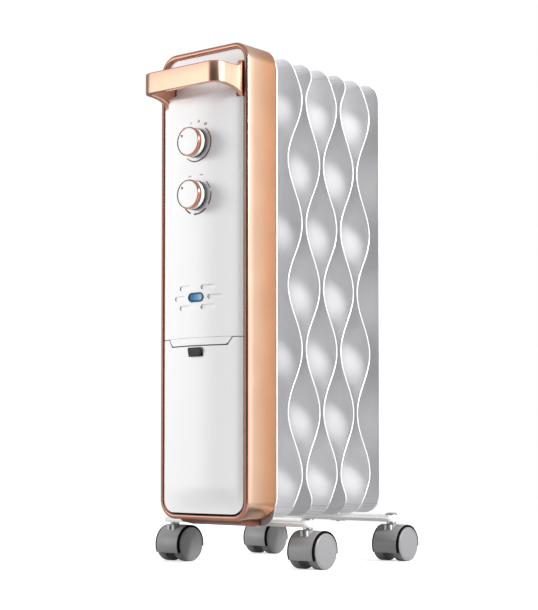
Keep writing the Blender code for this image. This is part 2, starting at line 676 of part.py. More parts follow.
def knob_set(name, body_size, materials):
    """A knob with its metal ring, the shaft it turns, and the switch or thermostat body behind the panel."""
    z = KNOB_HEIGHTS[name]
    wide, deep, tall = body_size
    front = PANEL_EDGE - CROWN
    back = front + PANEL_WALL
    behind = back + SWITCH_GAP
    body = box((-wide / 2, at(behind), z - tall / 2), (wide / 2, at(behind + deep), z + tall / 2))
    housing = place("power_switch" if name == "power" else "thermostat_body", body, materials["black"])
    bush = rod(BUSH_RADIUS, at(front + RUNNING), at(behind + SWITCH_GAP), 16)
    boolean(housing, along_y(f"{name}_bush", bush, None, 0, z), "UNION")
    shaft_end = back + SHAFT_IN
    bore = rod(SHAFT_RADIUS + RUNNING, at(front - 0.01), at(shaft_end + RUNNING), 16)
    boolean(housing, along_y(f"{name}_bore", bore, None, 0, z), "DIFFERENCE")

    axis = pivot(f"{name}_axis", (0, at(front), z))
    seat = front - LOOSE
    face = seat - KNOB_LENGTH

    def on_axis(piece, profile, material, ring=False):
        local = [(radius, y - front) for radius, y in profile]
        return place(piece, turned(local, 28 if radius_of(local) > 0.01 else 16, ring), material,
                     (0, 0, 0), (math.radians(-90), 0, 0), axis)

    on_axis(f"{name}_shaft", [(SHAFT_RADIUS, seat - SHAFT_IN), (SHAFT_RADIUS, shaft_end)], materials["zinc"])
    socket = SHAFT_RADIUS + RUNNING
    rebate = KNOB_RADIUS - KNOB_RING
    ring_back = face + RING_BACK
    on_axis(f"{name}_knob", [(rebate - RUNNING, face), (rebate - RUNNING, ring_back + RUNNING),
                             (KNOB_RADIUS - 0.0002, ring_back + RUNNING), (KNOB_RADIUS - 0.0002, seat),
                             (socket, seat), (socket, seat - KNOB_SOCKET)], materials["white"])
    on_axis(f"{name}_knob_ring", [(rebate, face), (KNOB_RADIUS - 0.0009, face), (KNOB_RADIUS, face + 0.0010),
                                  (KNOB_RADIUS, ring_back), (rebate, ring_back)], materials["copper"], True)


def radius_of(profile):
    return max(radius for radius, _ in profile)


def inside_pieces(materials):
    """What the box holds behind its panel."""
    lens = capsule(LAMP_WIDE, LAMP_TALL, 0, LAMP_HEIGHT)
    front = PANEL_EDGE - CROWN
    place("lamp_lens", slab(lens, at(front - LAMP_PROUD), at(front + PANEL_WALL)), materials["blue"])
    plate = BULKHEAD[0] - RUNNING
    radius, deep = CUTOUT_SIZE
    cutout = turned(flip_profile([(radius, plate - deep), (radius, plate)]))
    along_y("thermal_cutout", cutout, materials["black"], CUTOUT_AT[0], HEIGHT - CUTOUT_AT[1])
    on_plate("terminal_block", 0, HEIGHT - TERMINAL_DROP, TERMINAL_SIZE, plate, materials["white"])
    on_plate("tilt_switch", TILT_AT[0], HEIGHT - TILT_AT[1], TILT_SIZE, plate, materials["black"])


def on_plate(name, x, z, size, plate, material):
    """A block fixed to the front of the bulkhead."""
    wide, deep, tall = size
    place(name, box((x - wide / 2, at(plate - deep), z - tall / 2), (x + wide / 2, at(plate), z + tall / 2)),
          material)


def control_box(materials):
    copper_shell(materials["copper"])
    control_panel(materials["white"])
    latch_housing(materials["white"])
    hinge = pivot("door_hinge", (0, at(DOOR_PIVOT_Y), BOX_BOTTOM + DOOR_PIVOT_Z))
    cord_door(materials["white"], hinge)
    slider = pivot("latch_slide", (0, at(-CROWN) - hinge.location.y, LATCH_TOP - hinge.location.z), hinge)
    bpy.context.view_layer.update()
    door_latch(materials["black"], slider)
    place("door_hinge_rod", rod(DOOR_PIN_RADIUS, -LUG_X - LUG_HALF, LUG_X + LUG_HALF, 12), materials["zinc"],
          (0, at(DOOR_PIVOT_Y), BOX_BOTTOM + DOOR_PIVOT_Z), (0, math.radians(90), 0))
    cord_bay(materials["grey"])
    cord_gland(materials["black"])
    handle(materials["copper"])
    rear_bulkhead(materials["grey"])
    base_skirt(materials["grey"])
    knob_set("power", SWITCH_SIZE, materials)
    knob_set("thermostat", THERMOSTAT_SIZE, materials)
    inside_pieces(materials)


# Base

def bracket(name, y, materials):
    """A channel-shaped bar under the fins, with round ends, bolt holes and stem holes."""
    half = STEM_X + BRACKET_OVERHANG

    def outline(inset, z):
        radius = BRACKET_HALF_WIDE - inset
        reach = half - BRACKET_HALF_WIDE
        return [(side * (reach + radius * math.cos(math.radians(turn))),
                 at(y) + side * radius * math.sin(math.radians(turn)), z)
                for side in (1, -1) for turn in spread(-90, 90, 8)]

    low, under = BRACKET_TOP - BRACKET_TALL, BRACKET_TOP - BRACKET_WALL
    loops = [outline(BRACKET_WALL, under), outline(BRACKET_WALL, low), outline(0, low),
             outline(0, BRACKET_TOP - 0.001), outline(0.001, BRACKET_TOP)]
    bar = place(f"{name}_bracket", loft(loops), materials["bright"])
    for side in (-1, 1):
        hole = rod(STEM_RADIUS + RUNNING, low - 0.01, BRACKET_TOP + 0.01, 16)
        boolean(bar, place(f"{name}_stem_hole_{side}", hole, None, (side * STEM_X, at(y), 0)), "DIFFERENCE")
    bolt_y = y + BOLT_BEHIND_STEM
    bend = HEADER_RADIUS + BOLT_RADIUS + LOOSE
    hole = rod(BOLT_RADIUS + RUNNING, low - 0.01, BRACKET_TOP + 0.01, 16)
    boolean(bar, place(f"{name}_bolt_hole", hole, None, (bend, at(bolt_y), 0)), "DIFFERENCE")

    z = HEADER_HEIGHTS["bottom"]
    nut_top = under - RUNNING
    path = [Vector((bend, at(bolt_y), nut_top - 0.009))]
    path += [Vector((bend * math.cos(turn), at(bolt_y), z + bend * math.sin(turn)))
             for turn in spread(0, math.pi, 9)]
    path += [Vector((-bend, at(bolt_y), z - 0.006))]
    place(f"{name}_hook_bolt", tube(path, BOLT_RADIUS, Vector((0, 1, 0))), materials["zinc"])
    nut = place(f"{name}_wing_nut", rod(NUT_RADIUS, nut_top - NUT_TALL, nut_top, 12), materials["zinc"],
                (bend, at(bolt_y), 0))
    span, thick, tall = WING_SIZE
    wings = box((bend - span, at(bolt_y) - thick, nut_top - tall - 0.0015),
                (bend + span, at(bolt_y) + thick, nut_top - 0.0015))
    boolean(nut, place(f"{name}_wings", wings, None), "UNION")
    bore = rod(BOLT_RADIUS + RUNNING, nut_top - 0.02, nut_top + 0.01, 12)
    boolean(nut, place(f"{name}_nut_bore", bore, None, (bend, at(bolt_y), 0)), "DIFFERENCE")


def arc(radius, start, end, steps):
    """Points in the caster's Y and Z, with the angle counted up from +Y."""
    return [(radius * math.cos(math.radians(turn)), radius * math.sin(math.radians(turn)))
            for turn in spread(start, end, steps)]


def caster(name, x, y, materials):
    """A twin-wheel caster that swivels round its stem, its wheels trailing behind."""
    swivel = pivot(f"{name}_swivel", (x, at(y), 0))
    boss_top = BRACKET_TOP - BRACKET_TALL - BOSS_HEADROOM
    under, over = BRACKET_TOP - BRACKET_WALL - RUNNING, BRACKET_TOP + RUNNING
    foot, collar = WHEEL_RADIUS + STEM_FOOT, boss_top + RUNNING
    stem = [(STEM_RADIUS, foot), (STEM_RADIUS, collar), (STEM_COLLAR, collar), (STEM_COLLAR, under),
            (STEM_RADIUS, under), (STEM_RADIUS, over), (STEM_CAP, over), (STEM_CAP, over + 0.0013),
            (STEM_CAP - 0.002, over + 0.0025)]
    place(f"{name}_stem", turned(stem, 16), materials["zinc"], (x, at(y), 0))

    cover = arc(HOOD_OUTER, HOOD_FROM, HOOD_TO, 14) + arc(HOOD_INNER, HOOD_TO, HOOD_FROM, 14)
    middle = (TRAIL, WHEEL_RADIUS)

    def across(outline, half):
        ends = (-half, half)
        return loft([[(x, middle[0] + py, middle[1] + pz) for py, pz in outline] for x in ends])

    hood = place(f"{name}_hood", across(cover, HOOD_HALF), materials["hood"], parent=swivel)
    web = arc(HOOD_INNER + HOOD_WALL / 2, HOOD_FROM, HOOD_TO, 14) + arc(WEB_BORE, HOOD_TO + 8, 352, 5)
    boss = rod(BOSS_RADIUS, WHEEL_RADIUS + BOSS_FOOT, boss_top, 12)
    for part, shape in (("web", across(web, WEB_HALF)), ("boss", boss)):
        boolean(hood, place(f"{name}_{part}", shape, None, parent=swivel), "UNION")
    bore = rod(STEM_RADIUS + RUNNING, WHEEL_RADIUS + STEM_FOOT - RUNNING, boss_top + 0.01, 16)
    boolean(hood, place(f"{name}_stem_bore", bore, None, parent=swivel), "DIFFERENCE")
    axle_bore = rod(AXLE_RADIUS + RUNNING, -0.03, 0.03, 12)
    cutter = place(f"{name}_axle_bore", axle_bore, None, (0, *middle), (0, math.radians(90), 0), swivel)
    boolean(hood, cutter, "DIFFERENCE")

    place(f"{name}_axle", rod(AXLE_RADIUS, -AXLE_HALF, AXLE_HALF, 12), materials["zinc"], (0, *middle),
          (0, math.radians(90), 0), swivel)
    hub = AXLE_RADIUS + RUNNING
    corner = WHEEL_CORNER
    profile = [(hub, AXLE_HALF + RUNNING), (hub, WHEEL_INNER), (corner - 0.001, WHEEL_INNER),
               (corner, WHEEL_INNER + 0.0014), (corner, WHEEL_OUTER - 0.0016),
               (corner - 0.0014, WHEEL_OUTER)]
    for side, turn in (("left", -90), ("right", 90)):
        place(f"{name}_wheel_{side}", turned(profile, WHEEL_SIDES), materials["wheel"], (0, *middle),
              (0, math.radians(turn), 0), swivel)


def base(materials):
    for end, y in STEM_YS.items():
        bracket(end, y, materials)
        for side, x in (("left", -STEM_X), ("right", STEM_X)):
            caster(f"{end}_{side}", x, y, materials)


def build():
    clear_scene()
    materials = {
        "steel": paint("fin_enamel", (0.80, 0.81, 0.82), 0.35),
        "copper": paint("rose_gold", (0.80, 0.50, 0.34), 0.25, 0.9),
        "white": paint("gloss_white", (0.90, 0.90, 0.91), 0.2),
        "grey": paint("grey_plate", (0.45, 0.45, 0.46), 0.5),
        "black": paint("black_plastic", (0.03, 0.03, 0.03), 0.4),
        "blue": paint("blue_lens", (0.08, 0.35, 0.60), 0.1),
        "zinc": paint("zinc_steel", (0.70, 0.71, 0.72), 0.3, 1.0),
        "bright": paint("bracket_enamel", (0.85, 0.85, 0.86), 0.3),
        "hood": paint("caster_grey", (0.42, 0.42, 0.43), 0.35),
        "wheel": paint("wheel_grey", (0.36, 0.36, 0.37), 0.4),
    }
    radiator(materials["steel"], materials["zinc"])
    control_box(materials)
    base(materials)


build()
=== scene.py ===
"""Oil filled radiator heater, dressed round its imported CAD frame."""

import math

import bmesh
import bpy
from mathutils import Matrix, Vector


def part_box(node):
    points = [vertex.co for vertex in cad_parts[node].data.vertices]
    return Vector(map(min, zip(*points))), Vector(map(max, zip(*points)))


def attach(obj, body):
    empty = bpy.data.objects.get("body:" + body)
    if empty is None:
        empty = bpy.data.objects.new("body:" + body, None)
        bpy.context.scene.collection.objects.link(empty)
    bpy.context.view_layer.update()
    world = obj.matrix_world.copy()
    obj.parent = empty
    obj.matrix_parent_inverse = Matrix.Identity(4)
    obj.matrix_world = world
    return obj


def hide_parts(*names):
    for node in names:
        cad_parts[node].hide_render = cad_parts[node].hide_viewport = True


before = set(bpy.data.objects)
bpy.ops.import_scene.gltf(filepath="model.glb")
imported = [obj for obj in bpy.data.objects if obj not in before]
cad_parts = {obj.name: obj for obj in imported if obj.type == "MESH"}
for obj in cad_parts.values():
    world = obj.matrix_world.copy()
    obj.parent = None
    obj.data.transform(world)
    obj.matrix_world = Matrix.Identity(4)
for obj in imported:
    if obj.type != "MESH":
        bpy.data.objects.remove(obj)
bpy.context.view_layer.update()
scene = bpy.context.scene

# Camera and studio. A white sweep under a soft white dome, with a bright card and a soft lamp to the
# front left and to the right, and a dark card behind the camera that gives the rose gold its brown bands.
shell_low, shell_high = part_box("copper_shell")
RIM = shell_low.y


def wire(tree, kind, *values, **settings):
    """Adds a node; each value is a number or colour for a socket, or the output that feeds it."""
    node = tree.nodes.new(kind)
    for key, value in settings.items():
        setattr(node, key, value)
    for socket, value in zip(node.inputs, values):
        if isinstance(value, bpy.types.NodeSocket):
            tree.links.new(value, socket)
        elif value is not None:
            socket.default_value = value
    return node


def maths(tree, operation, *values):
    return wire(tree, "ShaderNodeMath", *values, operation=operation).outputs[0]


def fade(tree, value, start, end, low=0.0, high=1.0):
    """A smooth step from low at start to high at end."""
    return wire(tree, "ShaderNodeMapRange", value, start, end, low, high,
                interpolation_type="SMOOTHSTEP").outputs[0]


def ramp(tree, value, stops):
    node = wire(tree, "ShaderNodeValToRGB", value)
    line = node.color_ramp
    line.elements[0].position, line.elements[0].color = stops[0][0], (*stops[0][1], 1)
    line.elements[1].position, line.elements[1].color = stops[-1][0], (*stops[-1][1], 1)
    for position, colour in stops[1:-1]:
        line.elements.new(position).color = (*colour, 1)
    return node.outputs[0]


camera = bpy.data.objects.new("camera", bpy.data.cameras.new("camera"))
scene.collection.objects.link(camera)
camera.data.lens = 89.29
camera.data.sensor_width = 36
camera.data.shift_y = 0.12
camera.data.clip_end = 50
camera.location = (1.249, RIM - 1.4071, 0.1536)
camera.rotation_euler = (math.radians(92.507), 0, math.radians(39.08))
scene.camera = camera
scene.view_settings.view_transform = "Standard"

world = bpy.data.worlds.new("studio")
scene.world = world
world.use_nodes = True
sky = world.node_tree
sky.nodes.clear()
direction = wire(sky, "ShaderNodeSeparateXYZ", wire(sky, "ShaderNodeTexCoord").outputs["Generated"])
bearing = maths(sky, "ARCTAN2", direction.outputs["Y"], direction.outputs["X"])
bearing = maths(sky, "MULTIPLY_ADD", bearing, 1 / (2 * math.pi), 0.5)
CARDS = [(0.00, 0.25), (0.085, 0.40), (0.125, 2.10), (0.165, 2.30), (0.20, 0.85), (0.225, 0.08),
         (0.48, 0.08), (0.545, 2.30), (0.60, 2.40), (0.63, 0.85), (0.68, 0.70), (0.72, 0.25),
         (0.80, 0.12), (1.00, 0.40)]   # bearing as a share of a turn, and the card's brightness there
cards = ramp(sky, bearing, [(at, (value,) * 3) for at, value in CARDS])
above = fade(sky, direction.outputs["Z"], 0.30, 0.55)
dome = wire(sky, "ShaderNodeMix", above, data_type="RGBA")
sky.links.new(cards, dome.inputs["A"])
dome.inputs["B"].default_value = (0.56, 0.56, 0.565, 1)
studio_light = wire(sky, "ShaderNodeBackground", dome.outputs["Result"], 1.0)
paper = wire(sky, "ShaderNodeBackground", (1, 1, 1, 1), 1.0)
seen = wire(sky, "ShaderNodeLightPath").outputs["Is Camera Ray"]
both = wire(sky, "ShaderNodeMixShader", seen, studio_light.outputs[0], paper.outputs[0])
wire(sky, "ShaderNodeOutputWorld", both.outputs[0])


def area_light(name, place, towards, size, power):
    lamp = bpy.data.lights.new(name, "AREA")
    lamp.shape, lamp.size, lamp.energy = "DISK", size, power
    light = bpy.data.objects.new(name, lamp)
    scene.collection.objects.link(light)
    light.location = place
    light.rotation_euler = (Vector(towards) - Vector(place)).to_track_quat("-Z", "Y").to_euler()
    return light


area_light("front_left", (-2.05, -1.72, 0.95), (0, RIM, 0.32), 0.9, 50).visible_glossy = False
area_light("right", (2.75, 0.42, 1.50), (0, 0, 0.35), 0.6, 142)

FLOOR_HALF = 0.8
floor_mesh = bpy.data.meshes.new("floor")
floor_mesh.from_pydata([(x * FLOOR_HALF, y * FLOOR_HALF, 0) for x, y in ((-1, -1), (1, -1), (1, 1), (-1, 1))],
                       [], [(0, 1, 2, 3)])
floor = bpy.data.objects.new("floor", floor_mesh)
scene.collection.objects.link(floor)
floor_paint = bpy.data.materials.new("white_sweep")
floor_paint.use_nodes = True
floor_tree = floor_paint.node_tree
floor_shader = floor_tree.nodes["Principled BSDF"]
floor_shader.inputs["Emission Color"].default_value = (1, 1, 1, 1)
seen_floor = wire(floor_tree, "ShaderNodeLightPath").outputs["Is Camera Ray"]
floor_glow = maths(floor_tree, "MULTIPLY", seen_floor, 0.55)
floor_tree.links.new(floor_glow, floor_shader.inputs["Emission Strength"])
floor_tone = wire(floor_tree, "ShaderNodeMix", seen_floor, data_type="RGBA")
floor_tone.inputs["A"].default_value = (0.42, 0.42, 0.42, 1)
floor_tone.inputs["B"].default_value = (0.90, 0.90, 0.90, 1)
floor_tree.links.new(floor_tone.outputs["Result"], floor_shader.inputs["Base Color"])
floor_place = wire(floor_tree, "ShaderNodeTexCoord").outputs["Object"]
grain = wire(floor_tree, "ShaderNodeTexNoise", floor_place, None, 6.0)
floor_tree.links.new(fade(floor_tree, grain.outputs[0], 0, 1, 0.35, 0.55), floor_shader.inputs["Roughness"])
floor_mesh.materials.append(floor_paint)

# Fins. Seven pressed steel fins, each two sheets seam-welded round their edge with oil channels up the
# middle, dipped in white baked enamel. The outer two stay flat; those between wave in turn.
FIN_WAVE = 0.160
FIN_SWING = 0.0143
FIN_CORNER = 0.028
FIN_SEAM = 0.0010         # half the thickness of the welded edge
FIN_WING = 0.0007         # half the thickness of the sheet beside it
CHANNEL_SWELL = 0.0034
CREASE_DROP = 0.0125      # the pressed crease runs this far inside the top and bottom edges
CREASE_DEEP, RIDGE_DEEP, RIDGE_PITCH = 0.0011, 0.00028, 0.0040
WAVE_FROM, WAVE_TO = 0.026, 0.067     # it swells between these distances from the fin's middle line
WAVE_CALM = 0.050                     # and dies down this near the top and bottom edges
CHANNEL_IN, CHANNEL_OUT = (0.003, 0.007), (0.012, 0.019)   # the two slopes of an oil channel
CHANNEL_END = (0.030, 0.060)
SEAM_WIDE = (0.0022, 0.0030)
FIN_ANGLE = 50


def finish_mesh(bm, name, materials, angle=35):
    bmesh.ops.recalc_face_normals(bm, faces=bm.faces)
    mesh = bpy.data.meshes.new(name)
    bm.to_mesh(mesh)
    bm.free()
    for material in materials:
        mesh.materials.append(material)
    mesh.shade_smooth()
    mesh.set_sharp_from_angle(angle=math.radians(angle))
    return mesh


def mount(name, mesh, body, stands_for):
    """Hangs a finished mesh on its body and hides the CAD nodes that it stands for."""
    thing = bpy.data.objects.new(name, mesh)
    scene.collection.objects.link(thing)
    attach(thing, body)
    if stands_for:
        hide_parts(*stands_for)


def effect_group(name, inputs, outputs):
    tree = bpy.data.node_groups.new(name, "ShaderNodeTree")
    for label, value in inputs:
        tree.interface.new_socket(label, in_out="INPUT", socket_type="NodeSocketFloat").default_value = value
    for label in outputs:
        tree.interface.new_socket(label, in_out="OUTPUT", socket_type="NodeSocketFloat")
    return tree, tree.nodes.new("NodeGroupInput"), tree.nodes.new("NodeGroupOutput")


orange_peel, peel_in, peel_out = effect_group("orange_peel", [("Size", 900.0), ("Depth", 0.5)], ["Height"])
peel_place = wire(orange_peel, "ShaderNodeTexCoord").outputs["Object"]
peel_noise = wire(orange_peel, "ShaderNodeTexNoise", peel_place, None, peel_in.outputs["Size"], 1.5)
orange_peel.links.new(maths(orange_peel, "MULTIPLY", peel_noise.outputs[0], peel_in.outputs["Depth"]),
                      peel_out.inputs["Height"])

soft_mottle, mottle_in, mottle_out = effect_group(
    "soft_mottle", [("Size", 18.0), ("Low", 0.3), ("High", 0.4)], ["Value"])
mottle_place = wire(soft_mottle, "ShaderNodeTexCoord").outputs["Object"]
mottle_noise = wire(soft_mottle, "ShaderNodeTexNoise", mottle_place, None, mottle_in.outputs["Size"], 3.0)
soft_mottle.links.new(wire(soft_mottle, "ShaderNodeMapRange", mottle_noise.outputs[0], 0.3, 0.7,
                           mottle_in.outputs["Low"], mottle_in.outputs["High"]).outputs[0],
                      mottle_out.inputs["Value"])


def place_group(tree, group, **values):
    node = tree.nodes.new("ShaderNodeGroup")
    node.node_tree = group
    for label, value in values.items():
        node.inputs[label].default_value = value
    return node.outputs[0]


def finish_of(name, colour, rough, metallic=0.0, coat=0.0, peel=(900.0, 0.4), mottle=18.0, tint=0.03):
    """A finish with mottled roughness and tone and a fine surface grain; returns it with its nodes."""
    material = bpy.data.materials.new(name)
    material.use_nodes = True
    tree = material.node_tree
    shader = tree.nodes["Principled BSDF"]
    shader.inputs["Metallic"].default_value = metallic
    shader.inputs["Coat Weight"].default_value = coat
    shader.inputs["Coat Roughness"].default_value = 0.08
    tree.links.new(place_group(tree, soft_mottle, Size=mottle, Low=rough * 0.9, High=rough * 1.12),
                   shader.inputs["Roughness"])
    tone = place_group(tree, soft_mottle, Size=mottle * 0.4, Low=1 - tint, High=1.0)
    mixed = wire(tree, "ShaderNodeMix", data_type="RGBA", blend_type="MULTIPLY")
    mixed.inputs["Factor"].default_value = 1.0
    mixed.inputs["A"].default_value = (*colour, 1)
    tree.links.new(tone, mixed.inputs["B"])
    tree.links.new(mixed.outputs["Result"], shader.inputs["Base Color"])
    bump = tree.nodes.new("ShaderNodeBump")
    bump.inputs["Strength"].default_value = peel[1]
    bump.inputs["Distance"].default_value = 0.0001
    tree.links.new(place_group(tree, orange_peel, Size=peel[0], Depth=1.0), bump.inputs["Height"])
    tree.links.new(bump.outputs["Normal"], shader.inputs["Normal"])
    return material, tree, shader, mixed


fin_enamel = finish_of("fin_enamel", (0.80, 0.80, 0.81), 0.36, coat=0.25, peel=(700.0, 0.25))[0]


def rim_of(rows):
    """The points round the edge of a grid, in order."""
    return (rows[0] + [row[-1] for row in rows[1:-1]] + rows[-1][::-1]
            + [row[0] for row in reversed(rows[1:-1])])


def join_rings(bm, near, far):
    """Joins two rings of points by a band of faces, and returns the faces."""
    count = len(near)
    return [bm.faces.new((near[i], near[(i + 1) % count], far[(i + 1) % count], far[i]))
            for i in range(count)]


def join_grid(bm, rows):
    for under, over in zip(rows, rows[1:]):
        for i in range(len(under) - 1):
            bm.faces.new((under[i], under[i + 1], over[i + 1], over[i]))


def fin_blank(width, low, high, corner):
    """A fin's flat blank: two grids, at y -1 and y +1, joined round their edge by a ring at y 0."""
    steps = [0.0005, 0.0013, 0.0023, 0.0035, 0.0048]
    steps += [0.0056 + 0.0009 * i for i in range(12)] + [0.0180, 0.0205, 0.0235, 0.0270, 0.0310]
    count = 84
    span = high - low - 2 * steps[-1]
    heights = [0.0] + steps + [steps[-1] + span * i / count for i in range(1, count)]
    heights += [high - low - s for s in reversed(steps)] + [high - low]
    shares = [math.sin(math.pi / 2 * (i / 22)) for i in range(-22, 23)]
    shares = [0.55 * s + 0.45 * i / 22 for s, i in zip(shares, range(-22, 23))]
    bm = bmesh.new()

    def grid(inset, y):
        rows = []
        for up in heights:
            z = low + up
            over = max(z - (high - corner), low + corner - z, 0)
            half = width / 2 - corner + math.sqrt(max(corner ** 2 - min(over, corner) ** 2, 0)) - inset
            z = min(max(z, low + inset), high - inset)
            rows.append([(share * half, y, z) for share in shares])
        return rows

    sides = [[[bm.verts.new(point) for point in row] for row in grid(0.0005, y)] for y in (-1, 1)]
    for rows in sides:
        join_grid(bm, rows)
    ring = [bm.verts.new(point) for point in rim_of(grid(0, 0))]
    join_rings(bm, rim_of(sides[0]), ring)
    join_rings(bm, ring, rim_of(sides[1]))
    return bm


def tree_input(tree, label, kind, value=None):
    socket = tree.interface.new_socket(label, in_out="INPUT", socket_type=f"NodeSocket{kind}")
    if value is not None:
        socket.default_value = value
    return socket


def press_tree():
    """Presses the wave, the creases and the oil channels into a blank and puts it in its place."""
    tree = bpy.data.node_groups.new("press_fin", "GeometryNodeTree")
    tree_input(tree, "Geometry", "Geometry")
    for label, value in (("Place", 0.0), ("Swing", FIN_SWING), ("Wave Length", FIN_WAVE), ("Middle", 0.35),
                         ("Half Height", 0.29), ("Half Width", 0.07), ("Front Swell", CHANNEL_SWELL),
                         ("Rear Swell", CHANNEL_SWELL)):
        tree_input(tree, label, "Float", value)
    tree_input(tree, "Finish", "Material")
    tree.interface.new_socket("Geometry", in_out="OUTPUT", socket_type="NodeSocketGeometry")
    take, give = tree.nodes.new("NodeGroupInput").outputs, tree.nodes.new("NodeGroupOutput")
    spot = wire(tree, "ShaderNodeSeparateXYZ", wire(tree, "GeometryNodeInputPosition").outputs[0]).outputs
    out = maths(tree, "ABSOLUTE", spot["X"])
    up = maths(tree, "SUBTRACT", spot["Z"], take["Middle"])
    turn = maths(tree, "MULTIPLY", maths(tree, "DIVIDE", up, take["Wave Length"]), 2 * math.pi)
    wave = maths(tree, "MULTIPLY", maths(tree, "COSINE", turn), fade(tree, out, WAVE_FROM, WAVE_TO))
    inside = maths(tree, "SUBTRACT", take["Half Height"], maths(tree, "ABSOLUTE", up))
    wave = maths(tree, "MULTIPLY", wave, take["Swing"])
    wave = maths(tree, "MULTIPLY", wave, fade(tree, inside, 0.0, WAVE_CALM, 0.1))
    band = fade(tree, inside, CREASE_DROP - 0.0012, CREASE_DROP + 0.0008, 1.0, 0.0)
    ridges = maths(tree, "COSINE", maths(tree, "MULTIPLY", inside, 2 * math.pi / RIDGE_PITCH))
    crease = maths(tree, "MULTIPLY", band, maths(tree, "MULTIPLY_ADD", ridges, RIDGE_DEEP, CREASE_DEEP))

    channel = maths(tree, "MULTIPLY", fade(tree, out, *CHANNEL_IN), fade(tree, out, *CHANNEL_OUT, 1.0, 0.0))
    channel = maths(tree, "MULTIPLY", channel, fade(tree, inside, *CHANNEL_END))
    rear = maths(tree, "GREATER_THAN", spot["Y"], 0.0)
    swell = wire(tree, "ShaderNodeMix", rear, take["Front Swell"], take["Rear Swell"]).outputs[0]
    seam = fade(tree, maths(tree, "SUBTRACT", take["Half Width"], out), *SEAM_WIDE, FIN_SEAM, FIN_WING)
    thick = maths(tree, "MULTIPLY_ADD", channel, swell, seam)

    y = maths(tree, "MULTIPLY_ADD", spot["Y"], thick, take["Place"])
    y = maths(tree, "ADD", maths(tree, "ADD", y, wave), crease)
    moved = wire(tree, "ShaderNodeCombineXYZ", spot["X"], y, spot["Z"]).outputs[0]
    pressed = wire(tree, "GeometryNodeSetPosition", take["Geometry"])
    tree.links.new(moved, pressed.inputs["Position"])
    solid = wire(tree, "GeometryNodeRealizeInstances", pressed.outputs[0])
    coated = wire(tree, "GeometryNodeSetMaterial", solid.outputs[0])
    tree.links.new(take["Finish"], coated.inputs["Material"])
    tree.links.new(coated.outputs[0], give.inputs[0])
    return tree


def grow(name, bm, tree, values):
    """Runs a Geometry Nodes tree on a start mesh and returns the plain mesh that it makes."""
    start = bpy.data.meshes.new(name)
    bm.to_mesh(start)
    bm.free()
    thing = bpy.data.objects.new(name, start)
    scene.collection.objects.link(thing)
    modifier = thing.modifiers.new("tree", "NODES")
    modifier.node_group = tree
    for item in tree.interface.items_tree:
        if item.in_out == "INPUT" and item.name in values:
            modifier[item.identifier] = values[item.name]
    bpy.context.view_layer.update()
    mesh = bpy.data.meshes.new_from_object(thing.evaluated_get(bpy.context.evaluated_depsgraph_get()))
    thing.modifiers.remove(modifier)
    bpy.data.objects.remove(thing)
    mesh.name = name
    return mesh


press_fin = press_tree()
for number in range(1, 8):
    low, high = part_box(f"fin_{number}")
    outer = number in (1, 7)
    swing = 0.0 if outer else FIN_SWING * (-1 if number % 2 == 0 else 1)
    blank = fin_blank(high.x - low.x, low.z, high.z, FIN_CORNER)
    bmesh.ops.recalc_face_normals(blank, faces=blank.faces)
    mesh = grow(f"fin_{number}_enamelled", blank, press_fin, {
        "Place": (low.y + high.y) / 2, "Swing": swing, "Wave Length": FIN_WAVE,
        "Middle": (low.z + high.z) / 2, "Half Height": (high.z - low.z) / 2,
        "Half Width": (high.x - low.x) / 2, "Front Swell": 0.0 if number == 1 else CHANNEL_SWELL,
        "Rear Swell": CHANNEL_SWELL, "Finish": fin_enamel})
    mesh.shade_smooth()
    mesh.set_sharp_from_angle(angle=math.radians(FIN_ANGLE))
    mount(f"fin_{number}_enamelled", mesh, "heater", [f"fin_{number}"])

# Copper shell. One ring of pressed steel sheet in rose gold lacquer; its front edge is rolled in as a
# bead round the panel, its rear edge stands against the bulkhead.
SHELL_WALL = 0.0020
SHELL_LIP = 0.0070
SHELL_CORNER = 0.024
BEAD_OUT = 0.0037
BEAD_IN = 0.0033
SHELL_DEEP = shell_high.y - RIM


def hang(name, bm, materials, body, stands_for, angle=35):
    """Finishes a shape's mesh and mounts it under the same name."""
    mount(name, finish_mesh(bm, name, materials, angle), body, stands_for)


def rose_gold(name, rough, painted_light_from=None, painted_light_to=None, colour=(0.76, 0.44, 0.32)):
    """Rose gold lacquer over steel. Where a ramp is given its colour carries painted light: a dark rose on
    the front bead as painted shade, a lighter band just behind it as a painted highlight, and deeper towards
    the back as painted shade.
    """
    material, tree, shader, mixed = finish_of(name, colour, rough, metallic=0.97,
                                              peel=(1500.0, 0.10), tint=0.02)
    if painted_light_from is not None:
        place = wire(tree, "ShaderNodeTexCoord").outputs["Object"]
        depth = wire(tree, "ShaderNodeSeparateXYZ", place).outputs["Y"]
        share = wire(tree, "ShaderNodeMapRange", depth, painted_light_from, painted_light_to).outputs[0]
        # painted light: dark rose on the bead is painted shade, the light band behind it a painted highlight,
        # the deepening towards the back painted shade
        tone = ramp(tree, share, [(0.0, (0.56, 0.29, 0.21)), (0.05, (0.80, 0.56, 0.43)),
                                  (0.25, (0.76, 0.50, 0.36)), (0.6, (0.69, 0.38, 0.22)),
                                  (1.0, (0.60, 0.29, 0.155))])
        tree.links.new(tone, mixed.inputs["A"])
    return material


# The shell's rose gold carries painted shade on its bead and towards the back, and a painted highlight just
# behind the bead.
shell_copper = rose_gold("rose_gold_shell", 0.24, RIM + 0.0024, RIM + SHELL_DEEP)
handle_copper = rose_gold("rose_gold_handle", 0.25)
# The knob bands' rose gold is the handle's lacquer darkened as painted shade.
trim_copper_shaded = rose_gold("rose_gold_trim", 0.18, colour=(0.58, 0.28, 0.19))


def loft(loops, ring=False):
    """Joins loops of points into a tube with closed ends, or into a ring that meets itself."""
    bm = bmesh.new()
    rows = [[bm.verts.new(point) for point in loop] for loop in loops]
    pairs = list(zip(rows, rows[1:])) + ([(rows[-1], rows[0])] if ring else [])
    for near, far in pairs:
        join_rings(bm, near, far)
    if not ring:
        bm.faces.new(rows[0])
        bm.faces.new(rows[-1][::-1])
    return bm


